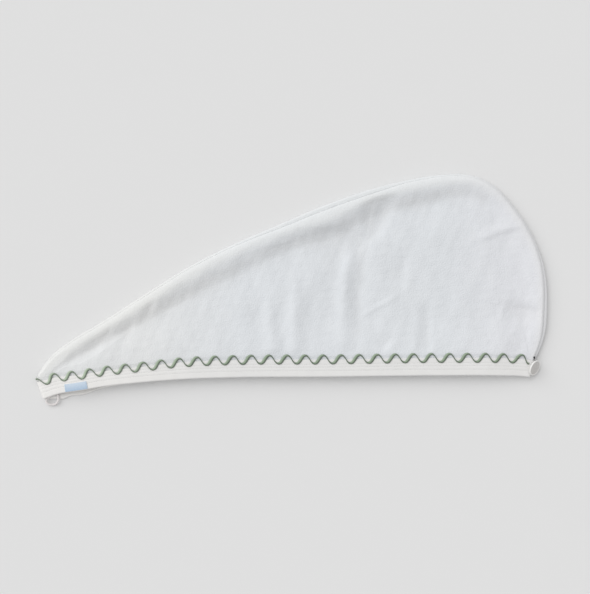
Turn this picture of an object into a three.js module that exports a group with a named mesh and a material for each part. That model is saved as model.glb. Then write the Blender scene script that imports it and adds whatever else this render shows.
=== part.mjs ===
import * as THREE from 'three';
import { mergeVertices } from 'three/addons/utils/BufferGeometryUtils.js';

// A hair towel lying flat: two terry panels joined along a curved seam, a binding
// round the long open side, a wavy ribbon, a tilted button and an elastic loop.
// Millimetres, +Z up. +X runs to the wide end, +Y to the top of the seam.

// Terry walls and the rolled seam between the two panels.
const TERRY = {
  wall: 2.5,          // thickness of a terry wall
  hemWall: 1.2,       // thickness of the wall inside the binding
  crest: 12.6,        // height of the padded rim beside the seam
  crestEnd: 9.4,      // the same at the two ends, beside the binding's turns
  crestIn: 9.5,       // distance of the rim's crest from the outline
  edgeIn: 2.45,       // distance of the upper panel's edge from the outline
  groove: 6.2,        // height of the groove between the panels
  grooveEnd: 5.6,
  troughDip: 2.0,     // how far the surface drops inside the crest
  troughIn: 20,       // distance of the trough from the outline
  swell: 3.4,         // how far the middle rises above the trough
  swellIn: 74,        // distance at which the middle is reached
  curlReach: 4.2,     // half width of the lower panel's rolled edge
  curlTop: 7.15,      // height of that edge, under the upper panel's
  curlTopEnd: 5.3,
  rimReach: 12,       // width of the strip whose rows follow the seam
  settle: 52,         // distance from an end at which the rim has its full height
  hemCover: 14.4,     // distance from the hem at which the terry wall begins
};

// The folded binding and what it leaves open.
const BAND = {
  cloth: 0.8,         // thickness of the binding's cloth
  half: 1.7,          // half of the folded binding's thickness
  innerArm: 12,       // width of the arm inside the opening
  step: 14,           // where the arm bends up over the ribbon below
  turn: 3.2,          // radius of the middle surface at the two end folds
  rise: 4.0,          // how far the upper run rises between the ends
  riseOver: 62,       // distance over which it rises
  lift: 1.95,         // how far the lower ribbon lifts the lower hem
};

// The wavy ribbon.
const WAVE = {
  troughs: 27,
  firstTroughX: -312.8,
  lastTroughX: 280.2,
  swing: 5.3,         // half of the wave's height
  half: 1.4,          // half width of the ribbon
  flare: 0.5,         // how much wider it looks where it rises to the right
  gap: 0.3,           // clearance to the cloth below
  foldGap: 1.0,       // more of it where the ribbon turns round the end fold
  roomBelow: 20.9,    // width of band that keeps the lower run in its lifted channel
  thick: 1.0,
};

// Outline of the seam from the narrow end round to the wide end.
const OUTLINE = [
  { x: -325.5, y: -121.0 },
  { x: -325.3, y: -113.6 },
  { x: -320.6, y: -105.4 },
  { x: -306.4, y: -87.8 },
  { x: -282.2, y: -68.7 },
  { x: -244.1, y: -45.8 },
  { x: -186.8, y: -8.9 },
  { x: -129.5, y: 26.7 },
  { x: -72.3, y: 55.4 },
  { x: -15.0, y: 80.2 },
  { x: 42.2, y: 104.3 },
  { x: 99.5, y: 124.1 },
  { x: 156.8, y: 138.1 },
  { x: 194.0, y: 143.2 },
  { x: 216.0, y: 143.8 },
  { x: 242.0, y: 138.1 },
  { x: 263.7, y: 124.1 },
  { x: 281.5, y: 104.0 },
  { x: 297.0, y: 83.0 },
  { x: 309.8, y: 59.4 },
  { x: 319.7, y: 33.1 },
  { x: 324.9, y: 3.8 },
  { x: 325.5, y: -26.7 },
  { x: 323.3, y: -57.3 },
  { x: 317.3, y: -79.4 },
  { x: 311.2, y: -92.4 },
];

// The hem from the narrow end to the wide end: its line, the width of the binding
// above it, and how far the lower layer shows past it.
const HEM = [
  { x: -317.2, y: -143.3, width: 22.0, peek: 0.0 },
  { x: -305.1, y: -138.2, width: 21.5, peek: 4.5 },
  { x: -295.0, y: -135.2, width: 21.0, peek: 7.8 },
  { x: -282.0, y: -133.2, width: 20.3, peek: 5.2 },
  { x: -269.5, y: -131.4, width: 19.8, peek: 6.0 },
  { x: -244.1, y: -126.8, width: 19.2, peek: 2.6 },
  { x: -193.2, y: -121.1, width: 19.4, peek: 0.4 },
  { x: -142.3, y: -117.1, width: 21.2, peek: 0.0 },
  { x: -65.9, y: -114.5, width: 22.0, peek: 0.0 },
  { x: 35.9, y: -113.9, width: 22.0, peek: 0.0 },
  { x: 188.6, y: -112.2, width: 22.2, peek: 0.0 },
  { x: 264.9, y: -112.4, width: 22.2, peek: 0.0 },
  { x: 290.4, y: -113.2, width: 22.0, peek: 0.0 },
  { x: 304.4, y: -114.5, width: 22.0, peek: 0.0 },
];

// Directions of the two end folds, from the hem up.
const FOLD_LEFT = { x: -0.336, y: 0.942 };
const FOLD_RIGHT = { x: 0.284, y: 0.959 };

// Pressed folds of the upper panel: a line, its half width and its height. Ridges
// are positive and dents negative.
const FOLDS = [
  { name: 'main ridge, top', x0: 66, y0: 64, x1: 71, y1: 32, half: 6.5, height: 2.0 },
  { name: 'main ridge, middle', x0: 71, y0: 32, x1: 69, y1: -18, half: 6.0, height: 2.2 },
  { name: 'main ridge, foot', x0: 69, y0: -18, x1: 76, y1: -56, half: 6.0, height: 1.4 },
  { name: 'dent right of it', x0: 83, y0: 32, x1: 78, y1: -20, half: 6.0, height: -1.3 },
  { name: 'hooked dent', x0: 99, y0: 65, x1: 77, y1: 48, half: 5.0, height: -1.4 },
  { name: 'dent across the rim', x0: 118, y0: 117, x1: 96, y1: 65, half: 7.0, height: -2.8 },
  { name: 'puff right of it', x0: 134, y0: 112, x1: 118, y1: 82, half: 9.0, height: 1.2 },
  { name: 'puff left of it', x0: 62, y0: 92, x1: 92, y1: 104, half: 9.0, height: 1.5 },
  { name: 'hollow under the rim', x0: -28, y0: 48, x1: 24, y1: 71, half: 9.0, height: -1.7 },
  { name: 'hollow under the puff', x0: 24, y0: 71, x1: 86, y1: 76, half: 8.0, height: -2.0 },
  { name: 'second ridge', x0: 7, y0: -8, x1: 6, y1: -78, half: 5.5, height: 1.5 },
  { name: 'dent left of it', x0: -13, y0: -48, x1: -14, y1: -82, half: 5.0, height: -1.2 },
  { name: 'soft ridge', x0: -30, y0: -14, x1: -31, y1: -78, half: 6.5, height: 0.7 },
  { name: 'right step', x0: 163, y0: -32, x1: 163, y1: -86, half: 6.0, height: 1.0 },
  { name: 'right hollow', x0: 174, y0: -32, x1: 174, y1: -86, half: 6.0, height: -0.7 },
  { name: 'upper right step', x0: 130, y0: 62, x1: 133, y1: 4, half: 6.5, height: 0.7 },
  { name: 'crease to the seam', x0: 192, y0: 58, x1: 286, y1: 81, half: 5.0, height: 0.9 },
  { name: 'nick in the right edge', x0: 286, y0: -28, x1: 318, y1: -33, half: 5.0, height: -1.3 },
  { name: 'left diagonal dent', x0: -238, y0: -52, x1: -270, y1: -90, half: 6.0, height: -1.3 },
  { name: 'second diagonal dent', x0: -208, y0: -38, x1: -221, y1: -80, half: 6.0, height: -1.1 },
  { name: 'third diagonal dent', x0: -180, y0: -18, x1: -194, y1: -42, half: 6.0, height: -0.9 },
];

const SAMPLE = 2.5;   // spacing of the points along a smooth line

const mix = (a, b, t) => a + (b - a) * t;
const clamp = (x, low, high) => Math.min(high, Math.max(low, x));

function ramp(from, to, x) {
  const t = clamp((x - from) / (to - from), 0, 1);
  return t * t * (3 - 2 * t);
}

function unit(v) {
  const length = Math.hypot(v.x, v.y);
  return { x: v.x / length, y: v.y / length };
}

function blend(a, b, t) {
  return unit({ x: mix(a.x, b.x, t), y: mix(a.y, b.y, t) });
}

// A smooth line through the rows of a table. Every column is carried along it.
class Line {
  constructor(rows) {
    const columns = Object.keys(rows[0]);
    const reach = rows.slice(1).map((row, i) => Math.hypot(row.x - rows[i].x, row.y - rows[i].y));
    const slope = (i, key) => {
      const before = i > 0 ? (rows[i][key] - rows[i - 1][key]) / reach[i - 1] : null;
      const after = i < reach.length ? (rows[i + 1][key] - rows[i][key]) / reach[i] : null;
      if (before === null) return after;
      if (after === null) return before;
      return (before * reach[i] + after * reach[i - 1]) / (reach[i] + reach[i - 1]);
    };
    this.points = [];
    for (let i = 0; i < reach.length; i++) {
      const steps = Math.ceil(reach[i] / SAMPLE);
      for (let k = i > 0 ? 1 : 0; k <= steps; k++) {
        const t = k / steps;
        const point = {};
        for (const key of columns) {
          const a = rows[i][key];
          const b = rows[i + 1][key];
          const ma = slope(i, key) * reach[i];
          const mb = slope(i + 1, key) * reach[i];
          point[key] = a * (1 + 2 * t) * (1 - t) ** 2 + ma * t * (1 - t) ** 2
            + b * (3 - 2 * t) * t ** 2 - mb * (1 - t) * t ** 2;
        }
        this.points.push(point);
      }
    }
    this.arcs = [0];
    for (let i = 1; i < this.points.length; i++) {
      const a = this.points[i - 1];
      const b = this.points[i];
      this.arcs.push(this.arcs[i - 1] + Math.hypot(b.x - a.x, b.y - a.y));
    }
    this.length = this.arcs[this.arcs.length - 1];
  }

  // The columns at a distance along the line, with the line's direction there.
  at(arc) {
    const s = clamp(arc, 0, this.length);
    let i = 1;
    while (i < this.arcs.length - 1 && this.arcs[i] < s) i++;
    const t = (s - this.arcs[i - 1]) / (this.arcs[i] - this.arcs[i - 1]);
    const a = this.points[i - 1];
    const b = this.points[i];
    const found = {};
    for (const key of Object.keys(a)) found[key] = mix(a[key], b[key], t);
    found.along = this.heading(s);
    return found;
  }

  heading(s) {
    const near = (x) => {
      let i = 1;
      while (i < this.arcs.length - 1 && this.arcs[i] < x) i++;
      const t = (x - this.arcs[i - 1]) / (this.arcs[i] - this.arcs[i - 1]);
      const a = this.points[i - 1];
      const b = this.points[i];
      return { x: mix(a.x, b.x, t), y: mix(a.y, b.y, t) };
    };
    const a = near(Math.max(0, s - SAMPLE));
    const b = near(Math.min(this.length, s + SAMPLE));
    return unit({ x: b.x - a.x, y: b.y - a.y });
  }

  // The nearest place on the line: how far it is, and how far along.
  nearest(x, y) {
    let best = Infinity;
    let arc = 0;
    for (let i = 1; i < this.points.length; i++) {
      const a = this.points[i - 1];
      const b = this.points[i];
      const dx = b.x - a.x;
      const dy = b.y - a.y;
      const t = clamp(((x - a.x) * dx + (y - a.y) * dy) / (dx * dx + dy * dy), 0, 1);
      const away = Math.hypot(x - a.x - t * dx, y - a.y - t * dy);
      if (away < best) {
        best = away;
        arc = mix(this.arcs[i - 1], this.arcs[i], t);
      }
    }
    return { away: best, arc };
  }
}

const seam = new Line(OUTLINE);
const hem = new Line(HEM);

// Direction from the hem into the panel.
function hemUp(arc) {
  const along = hem.heading(arc);
  const square = { x: -along.y, y: along.x };
  if (arc < hem.length / 2) return blend(FOLD_LEFT, square, ramp(4, 34, arc));
  return blend(FOLD_RIGHT, square, ramp(4, 34, hem.length - arc));
}

// Height of the binding's outer face on the upper run.
function hemTop(arc) {
  const fromEnd = Math.min(arc, hem.length - arc);
  return 2 * (BAND.turn + BAND.half) + BAND.rise * ramp(4, BAND.riseOver, fromEnd);
}

// How far the lower hem is lifted off the surface by the ribbon below it.
function hemLift(w) {
  return BAND.lift * ramp(BAND.step - 2, BAND.step, w) * (1 - ramp(31, 44, w));
}

function foldHeight(x, y) {
  let sum = 0;
  for (const fold of FOLDS) {
    const dx = fold.x1 - fold.x0;
    const dy = fold.y1 - fold.y0;
    const t = clamp(((x - fold.x0) * dx + (y - fold.y0) * dy) / (dx * dx + dy * dy), 0, 1);
    const away = Math.hypot(x - fold.x0 - t * dx, y - fold.y0 - t * dy);
    const taper = 0.55 + 0.45 * Math.sin(Math.PI * t);
    sum += fold.height * taper * Math.exp(-((away / fold.half) ** 2));
  }
  return sum;
}

// How far a place is from the nearer end of the seam.
function fromTips(x, y) {
  const tips = [seam.points[0], seam.points[seam.points.length - 1]];
  return Math.min(...tips.map((tip) => Math.hypot(x - tip.x, y - tip.y)));
}

// Height of the upper panel's outer surface. A rim row gives its own distance in.
function upperHeight(x, y, rowIn) {
  const edge = seam.nearest(x, y);
  if (rowIn !== undefined) edge.away = rowIn;
  const low = hem.nearest(x, y);
  const settle = ramp(0, TERRY.settle, fromTips(x, y));
  const crest = mix(TERRY.crestEnd, TERRY.crest, settle);
  const groove = mix(TERRY.grooveEnd, TERRY.groove, settle);
  const out = clamp((TERRY.crestIn - edge.away) / (TERRY.crestIn - 2.4), 0, 1);
  const rim = groove + (crest - groove) * Math.sqrt(Math.max(0, 1 - out * out));
  const inside = edge.away - TERRY.crestIn;
  const fade = ramp(0, 8, inside);
  const dome = rim
    - settle * TERRY.troughDip * ramp(TERRY.crestIn, TERRY.troughIn, edge.away)
    + TERRY.swell * ramp(TERRY.troughIn, TERRY.swellIn, edge.away)
    + mix(0.35, 1, fade) * foldHeight(x, y);
  const top = hemTop(low.arc);
  const under = top - BAND.half + TERRY.hemWall / 2;
  const flat = mix(under, top - 0.25, ramp(23.6, 27, low.away));
  return Math.min(mix(flat, dome, ramp(30, 47, low.away)), low.away < 34 ? rim : Infinity);
}

// Height of the lower panel's under side.
function lowerHeight(x, y) {
  const low = hem.nearest(x, y);
  const w = low.away + hem.at(low.arc).peek;
  return (BAND.cloth + 0.3) * (1 - ramp(23.6, 26.5, w)) + hemLift(w);
}

// Distances along the seam at which the panels' columns stand: closer where it turns.
function seamStations(step, turn) {
  const cost = [0];
  for (let i = 1; i < seam.points.length; i++) {
    const a = seam.heading(seam.arcs[i - 1]);
    const b = seam.heading(seam.arcs[i]);
    const bend = Math.abs(Math.asin(clamp(a.x * b.y - a.y * b.x, -1, 1)));
    const ends = Math.min(seam.arcs[i], seam.length - seam.arcs[i]) < 16 ? 2 : 1;
    cost.push(cost[i - 1] + ends * (seam.arcs[i] - seam.arcs[i - 1]) / step + bend / turn);
  }
  const count = 2 * Math.round(cost[cost.length - 1] / 2);
  const stations = [];
  let k = 1;
  for (let i = 0; i <= count; i++) {
    const want = cost[cost.length - 1] * i / count;
    while (k < cost.length - 1 && cost[k] < want) k++;
    const t = clamp((want - cost[k - 1]) / (cost[k] - cost[k - 1]), 0, 1);
    stations.push(mix(seam.arcs[k - 1], seam.arcs[k], t));
  }
  return stations;
}

// The direction from the seam into the panel. At the two ends it leans along the hem.
function seamIn(arc) {
  const along = seam.heading(arc);
  const square = { x: along.y, y: -along.x };
  if (arc < seam.length / 2) {
    const lean = { x: FOLD_LEFT.y, y: -FOLD_LEFT.x };
    return blend(lean, square, ramp(4, 24, arc));
  }
  const lean = { x: -FOLD_RIGHT.y, y: FOLD_RIGHT.x };
  return blend(lean, square, ramp(4, 24, seam.length - arc));
}

// One column of a panel in plan: where it leaves the rim and where it ends at the hem.
function column(arc, lowerLayer) {
  const share = arc / seam.length;
  const start = seam.at(arc);
  const into = seamIn(arc);
  const rim = { x: start.x + into.x * TERRY.rimReach, y: start.y + into.y * TERRY.rimReach };
  const hemArc = mix(16, hem.length - 16, share);
  const foot = hem.at(hemArc);
  const up = hemUp(hemArc);
  const fromEnd = Math.min(share, 1 - share) * hem.length;
  const peek = lowerLayer ? foot.peek : 0;
  const rise = mix(23.6, TERRY.hemCover, ramp(0, 30, fromEnd)) - peek;
  const end = { x: foot.x + up.x * rise, y: foot.y + up.y * rise };
  const span = Math.hypot(rim.x - end.x, rim.y - end.y);
  return { start, into, rim, end, span, rise: rise + peek, peek };
}

// Plan points of a column from the hem to the rim, at the wanted heights above the
// hem first and evenly spaced after them.
function planRows(col, marks, even) {
  const count = marks.length + even;
  const away = marks.map((mark, k) => {
    const wanted = Math.max(0, mark - col.rise);
    const low = k / count * Math.min(col.span, 60);
    const high = (k + 0.6) / count * col.span;
    return Math.min(Math.max(wanted, Math.min(low, high)), high);
  });
  away[0] = 0;
  for (let k = 1; k < away.length; k++) away[k] = Math.max(away[k], away[k - 1] + 0.02 * col.span);
  const last = away[away.length - 1];
  for (let k = 1; k <= even; k++) away.push(mix(last, col.span, k / (even + 1)));
  const toRim = { x: (col.rim.x - col.end.x) / col.span, y: (col.rim.y - col.end.y) / col.span };
  return away.map((d) => ({ x: col.end.x + toRim.x * d, y: col.end.y + toRim.y * d, out: toRim }));
}

const UPPER_MARKS = [14.4, 19, 23.6, 27, 31];
const UPPER_EVEN = 13;
const RIM_ANGLES = [90, 64, 43, 26, 8];
const LOWER_MARKS = [14.4, 23.6, 27, 31, 44];
const LOWER_EVEN = 1;
const CURL_ANGLES = [-90, -45, 0, 58];

const DEGREE = Math.PI / 180;

// The upper panel's outer surface along one column, hem to seam.
function upperColumn(arc) {
  const col = column(arc, false);
  const outward = { x: -col.into.x, y: -col.into.y };
  const rows = planRows(col, UPPER_MARKS, UPPER_EVEN);
  rows.push({ x: col.rim.x, y: col.rim.y, out: outward });
  for (const angle of RIM_ANGLES) {
    const d = TERRY.crestIn - (TERRY.crestIn - 2.4) * Math.cos(angle * DEGREE);
    rows.push({
      x: col.start.x + col.into.x * d,
      y: col.start.y + col.into.y * d,
      out: outward,
      rowIn: d,
    });
  }
  return rows.map((row) => ({ ...row, z: upperHeight(row.x, row.y, row.rowIn), side: 1 }));
}

// The lower panel's under side along one column, hem to seam, with its rolled edge.
function lowerColumn(arc) {
  const col = column(arc, true);
  const outward = { x: -col.into.x, y: -col.into.y };
  const rows = planRows(col, LOWER_MARKS, LOWER_EVEN);
  rows.push({ x: col.rim.x, y: col.rim.y, out: outward });
  const placed = rows.map((row) => ({ ...row, z: lowerHeight(row.x, row.y), side: -1 }));
  const fromEnd = Math.min(arc, seam.length - arc);
  const ends = 1 - ramp(0, TERRY.settle, fromEnd);
  const turned = {
    x: col.start.x + col.into.x * TERRY.curlReach,
    y: col.start.y + col.into.y * TERRY.curlReach,
  };
  const base = Math.max(lowerHeight(turned.x, turned.y), 2.0 * (1 - ramp(0, 14, fromEnd)));
  const top = mix(TERRY.curlTop, TERRY.curlTopEnd, ends);
  const half = (top - base) / 1.848;
  for (const angle of CURL_ANGLES) {
    const inset = 0.9 * ends;
    const d = inset + TERRY.curlReach * (1 - Math.cos(angle * DEGREE));
    placed.push({
      x: col.start.x + col.into.x * d,
      y: col.start.y + col.into.y * d,
      z: base + half * (1 + Math.sin(angle * DEGREE)),
      out: outward,
      side: -1,
    });
  }
  return placed;
}

// Moves a column's points to the wall's other face.
function otherFace(rows) {
  return rows.map((row, j) => {
    const a = rows[Math.max(0, j - 1)];
    const b = rows[Math.min(rows.length - 1, j + 1)];
    const along = (b.x - a.x) * row.out.x + (b.y - a.y) * row.out.y;
    const climb = b.z - a.z;
    const length = Math.hypot(along, climb);
    const low = hem.nearest(row.x, row.y).away;
    const thick = mix(TERRY.hemWall, TERRY.wall, ramp(22, 28, low));
    return {
      x: row.x + row.side * row.out.x * thick * climb / length,
      y: row.y + row.side * row.out.y * thick * climb / length,
      z: row.z - row.side * thick * along / length,
    };
  });
}

// Joins faces into one closed surface.
class Skin {
  constructor() {
    this.points = [];
    this.faces = [];
  }

  add(point) {
    this.points.push(point.x, point.y, point.z);
    return this.points.length / 3 - 1;
  }

  grid(rows) {
    return rows.map((row) => row.map((point) => this.add(point)));
  }

  // Two triangles between each pair of neighbouring rows and columns.
  sheet(ids, turned) {
    for (let i = 0; i + 1 < ids.length; i++) {
      for (let j = 0; j + 1 < ids[i].length; j++) {
        const [a, b, c, d] = [ids[i][j], ids[i + 1][j], ids[i + 1][j + 1], ids[i][j + 1]];
        if (turned) this.faces.push(a, c, b, a, d, c);
        else this.faces.push(a, b, c, a, c, d);
      }
    }
  }

  // A strip between two edges that may have different numbers of points.
  strip(one, other) {
    let i = 0;
    let j = 0;
    while (i < one.length - 1 || j < other.length - 1) {
      const ahead = (i + 0.5) / (one.length - 1) <= (j + 0.5) / (other.length - 1);
      if (j === other.length - 1 || (i < one.length - 1 && ahead)) {
        this.faces.push(one[i], one[i + 1], other[j]);
        i++;
      } else {
        this.faces.push(one[i], other[j + 1], other[j]);
        j++;
      }
    }
  }

  // A tube of four-sided rings with both ends closed.
  tube(rings, turned) {
    this.sheet(rings.map((ring) => [...ring, ring[0]]), turned);
    const last = rings.length - 1;
    for (const [ring, back] of [[rings[0], turned], [rings[last], !turned]]) {
      const [a, b, c, d] = ring;
      if (back) this.faces.push(a, c, b, a, d, c);
      else this.faces.push(a, b, c, a, c, d);
    }
  }

  geometry() {
    const shape = new THREE.BufferGeometry();
    shape.setAttribute('position', new THREE.Float32BufferAttribute(this.points, 3));
    shape.setIndex(this.faces);
    const merged = mergeVertices(shape, 1e-4);
    merged.computeVertexNormals();
    return merged;
  }
}

// Every second entry of a list, with both ends.
const thinned = (list) => list.filter((_, k) => k % 2 === 0 || k === list.length - 1);

// A closed wall from its visible face, with the hidden face made half as fine.
function wall(columns, keepRows, turned) {
  const skin = new Skin();
  const shown = skin.grid(columns);
  const hiddenColumns = thinned(columns).map((rows) => otherFace(rows).filter((_, j) => keepRows(j)));
  const hidden = skin.grid(hiddenColumns);
  skin.sheet(shown, turned);
  skin.sheet(hidden, !turned);
  const rim = (ids) => {
    const first = ids[0];
    const last = ids[ids.length - 1];
    return {
      start: first,
      end: last,
      hem: ids.map((column) => column[0]),
      seam: ids.map((column) => column[column.length - 1]),
    };
  };
  const a = rim(shown);
  const b = rim(hidden);
  const join = (one, other) => (turned ? skin.strip(one, other) : skin.strip(one.slice().reverse(), other.slice().reverse()));
  join(a.hem, b.hem);
  join(a.end, b.end);
  join(a.seam.slice().reverse(), b.seam.slice().reverse());
  join(a.start.slice().reverse(), b.start.slice().reverse());
  return skin.geometry();
}

function upperPanel() {
  const columns = seamStations(18.5, 10 * DEGREE).map(upperColumn);
  const marks = UPPER_MARKS.length;
  const rimStart = marks + UPPER_EVEN;
  const keep = (j) => j < marks ? j % 2 === 0 : j >= rimStart || (j - marks) % 2 === 1;
  return wall(columns, keep, false);
}

function lowerPanel() {
  const columns = seamStations(18.5, 10 * DEGREE).map(lowerColumn);
  return wall(columns, (j) => j !== 1 && j !== 3, true);
}

// Stations round the opening: the upper run from the wide end to the narrow one, the
// fold there, the lower run back, and the fold at the wide end.
function ringStation(part, arc, angle) {
  const centre = BAND.turn + BAND.half;
  const start = part === 'left' ? centre : part === 'right' ? hem.length - centre : arc;
  const foot = hem.at(start);
  const up = hemUp(start);
  const station = { x: foot.x, y: foot.y, up, width: foot.width, lift: 0, peek: 0 };
  if (part === 'upper') {
    station.z = hemTop(start) - BAND.half;
    station.normal = { x: 0, y: 0, z: 1 };
    return station;
  }
  if (part === 'lower') {
    station.z = BAND.half;
    station.normal = { x: 0, y: 0, z: -1 };
    station.lift = 1;
    station.peek = foot.peek;
    return station;
  }
  const fold = part === 'left' ? FOLD_LEFT : FOLD_RIGHT;
  const side = part === 'left' ? -1 : 1;
  const out = { x: side * fold.y, y: -side * fold.x };
  station.normal = {
    x: out.x * Math.sin(angle),
    y: out.y * Math.sin(angle),
    z: Math.cos(angle),
  };
  station.x += BAND.turn * station.normal.x;
  station.y += BAND.turn * station.normal.y;
  station.z = centre + BAND.turn * station.normal.z;
  station.lift = ramp(Math.PI / 2, Math.PI, angle);
  station.peek = 0;
  return station;
}

// A point of the ring: w up from the hem, n out from the middle surface.
function ringPoint(station, w, n) {
  const rise = w - station.peek;
  return {
    x: station.x + station.up.x * rise + station.normal.x * n,
    y: station.y + station.up.y * rise + station.normal.y * n,
    z: station.z + station.normal.z * n + station.lift * hemLift(w),
  };
}

const RUN_ENDS = [4.9, 9, 14, 20, 27, 35, 45, 57, 72];

function hemArcs(step) {
  const middle = [];
  const from = RUN_ENDS[RUN_ENDS.length - 1];
  const count = Math.round((hem.length - 2 * from) / step);
  for (let k = 1; k < count; k++) middle.push(mix(from, hem.length - from, k / count));
  const tail = RUN_ENDS.map((arc) => hem.length - arc).reverse();
  return [...RUN_ENDS, ...middle, ...tail];
}

function bandRing() {
  const arcs = hemArcs(30);
  const turns = [20, 40, 60, 80, 100, 120, 140, 160].map((angle) => angle * DEGREE);
  return [
    ...arcs.slice().reverse().map((arc) => ringStation('upper', arc)),
    ...turns.map((angle) => ringStation('left', 0, angle)),
    ...arcs.map((arc) => ringStation('lower', arc)),
    ...turns.slice().reverse().map((angle) => ringStation('right', 0, angle)),
  ];
}

function hemBand() {
  const { cloth, half, innerArm, step } = BAND;
  const skin = new Skin();
  const rings = bandRing().map((station) => {
    const section = [
      { w: station.width, n: half },
      { w: step, n: half },
      { w: 1.1, n: half },
      { w: -0.3, n: 0 },
      { w: 1.1, n: -half },
      { w: innerArm, n: -half },
      { w: innerArm, n: cloth - half },
      { w: 1.3, n: cloth - half },
      { w: 1.3, n: half - cloth },
      { w: step, n: half - cloth },
      { w: station.width, n: half - cloth },
    ];
    return section.map(({ w, n }) => skin.add(ringPoint(station, w, n)));
  });
  const closed = rings.map((ring) => [...ring, ring[0]]);
  skin.sheet([...closed, closed[0]], false);
  return skin.geometry();
}

// The ribbon's middle line: distance along it, the station and the phase of the wave.
function waveLine() {
  const centre = BAND.turn + BAND.half;
  const parts = [];
  const run = (part, from, to, count) => {
    for (let k = 0; k <= count; k++) parts.push({ part, arc: mix(from, to, k / count), angle: 0 });
  };
  run('upper', hem.length - 7.5, centre, 330);
  for (let k = 1; k < 12; k++) parts.push({ part: 'left', arc: 0, angle: Math.PI * k / 12 });
  run('lower', centre, hem.length - 7.5, 330);
  let along = 0;
  let before = null;
  return parts.map((entry) => {
    const station = ringStation(entry.part, entry.arc, entry.angle);
    const point = ringPoint(station, station.width, BAND.half + WAVE.gap);
    if (before) along += Math.hypot(point.x - before.x, point.y - before.y, point.z - before.z);
    before = point;
    return { ...entry, along, x: point.x };
  });
}

function waveTrim() {
  const line = waveLine();
  const upper = line.filter((entry) => entry.part === 'upper');
  const crossing = (x) => {
    const i = upper.findIndex((entry) => entry.x <= x);
    const t = (upper[i - 1].x - x) / (upper[i - 1].x - upper[i].x);
    return mix(upper[i - 1].along, upper[i].along, t);
  };
  const first = crossing(WAVE.firstTroughX);
  const last = crossing(WAVE.lastTroughX);
  const period = (first - last) / (WAVE.troughs - 1);
  const total = line[line.length - 1].along;
  const find = (along) => {
    let i = 1;
    while (i < line.length - 1 && line[i].along < along) i++;
    const t = (along - line[i - 1].along) / (line[i].along - line[i - 1].along);
    const a = line[i - 1];
    const b = line[i];
    if (a.part === b.part) return { part: a.part, arc: mix(a.arc, b.arc, t), angle: mix(a.angle, b.angle, t) };
    const turned = a.part === 'left' ? [a.angle, Math.PI] : [0, b.angle];
    return { part: 'left', arc: 0, angle: mix(turned[0], turned[1], t) };
  };
  const place = (along, w, n) => {
    const spot = find(clamp(along, 0, total));
    const station = ringStation(spot.part, spot.arc, spot.angle);
    return ringPoint(station, station.width + w, n);
  };
  const skin = new Skin();
  const rings = [];
  const fold = line.findIndex((entry) => entry.part === 'lower');
  const foldMiddle = (line[fold - 12].along + line[fold].along) / 2;
  let along = 0;
  while (along < total) {
    const phase = 2 * Math.PI * (last - along) / period;
    const steep = 2 * Math.PI * WAVE.swing / period * Math.sin(phase);
    const spot = find(along);
    const width = ringStation(spot.part, spot.arc, spot.angle).width;
    const clear = spot.part === 'upper' ? 0 : Math.max(0, WAVE.roomBelow - width);
    const middle = clear - WAVE.swing * Math.cos(phase);
    const half = WAVE.half + WAVE.flare * Math.sin(phase);
    const tilt = Math.hypot(1, steep);
    const across = { along: steep / tilt, w: 1 / tilt };
    const fromFold = Math.abs(along - foldMiddle);
    const eased = along < foldMiddle ? ramp(9, 16, fromFold) : ramp(3, 8, fromFold);
    const inner = BAND.half + WAVE.gap + WAVE.foldGap * (1 - eased);
    const outer = inner + WAVE.thick;
    const corners = [[-1, inner], [1, inner], [1, outer], [-1, outer]];
    rings.push(corners.map(([side, n]) => {
      const to = side * half;
      return skin.add(place(along + across.along * to, middle + across.w * to, n));
    }));
    const shares = fromFold < 11 ? 14 : along < line[fold].along ? 6 : 4;
    along += period / shares;
  }
  skin.tube(rings, false);
  return skin.geometry();
}

// The blank label, a thin strip on the binding near the narrow end.
const LABEL = { from: 33, to: 61.5, low: 0.6, high: 11.4, thick: 0.5, gap: 0.3 };

function sideLabel() {
  const skin = new Skin();
  const inner = BAND.half + LABEL.gap;
  const outer = inner + LABEL.thick;
  const rings = [0, 0.25, 0.5, 0.75, 1].map((t) => {
    const station = ringStation('upper', mix(LABEL.from, LABEL.to, t));
    const corners = [[LABEL.low, inner], [LABEL.high, inner], [LABEL.high, outer], [LABEL.low, outer]];
    return corners.map(([w, n]) => skin.add(ringPoint(station, w, n)));
  });
  skin.tube(rings, true);
  return skin.geometry();
}

// The button: a shallow dish with a raised rim on a short shank.
const BUTTON = {
  radius: 10.2,
  centre: new THREE.Vector3(309.0, -103.7, 10.5),
  facing: new THREE.Vector3(0.689, -0.336, 0.643),
  segments: 22,
};

function buttonShape() {
  const r = BUTTON.radius;
  const profile = [
    [0, -3.0], [2.0, -3.0], [2.2, -1.3], [r - 1.6, -1.1], [r - 0.3, -0.3], [r, 0.6],
    [r - 0.6, 1.4], [r - 1.5, 1.5], [r - 2.5, 0.6], [r - 4.2, 0.25], [0, 0.2],
  ];
  const shape = new THREE.LatheGeometry(profile.map(([x, y]) => new THREE.Vector2(x, y)), BUTTON.segments);
  shape.rotateX(Math.PI / 2);
  return shape;
}

// The elastic loop, from inside the mouth out round the narrow tip and back in.
const LOOP = {
  radius: 1.3,
  route: [
    [-304.5, -131.5, 5.0],
    [-308.0, -138.0, 5.0],
    [-311.8, -142.3, 5.0],
    [-313.3, -146.0, 4.4],
    [-310.8, -149.2, 3.2],
    [-306.2, -150.2, 2.3],
    [-301.8, -149.2, 2.6],
    [-298.6, -145.8, 4.3],
    [-297.9, -141.0, 5.0],
    [-299.6, -134.5, 5.0],
    [-300.5, -128.5, 5.0],
  ],
};

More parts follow.
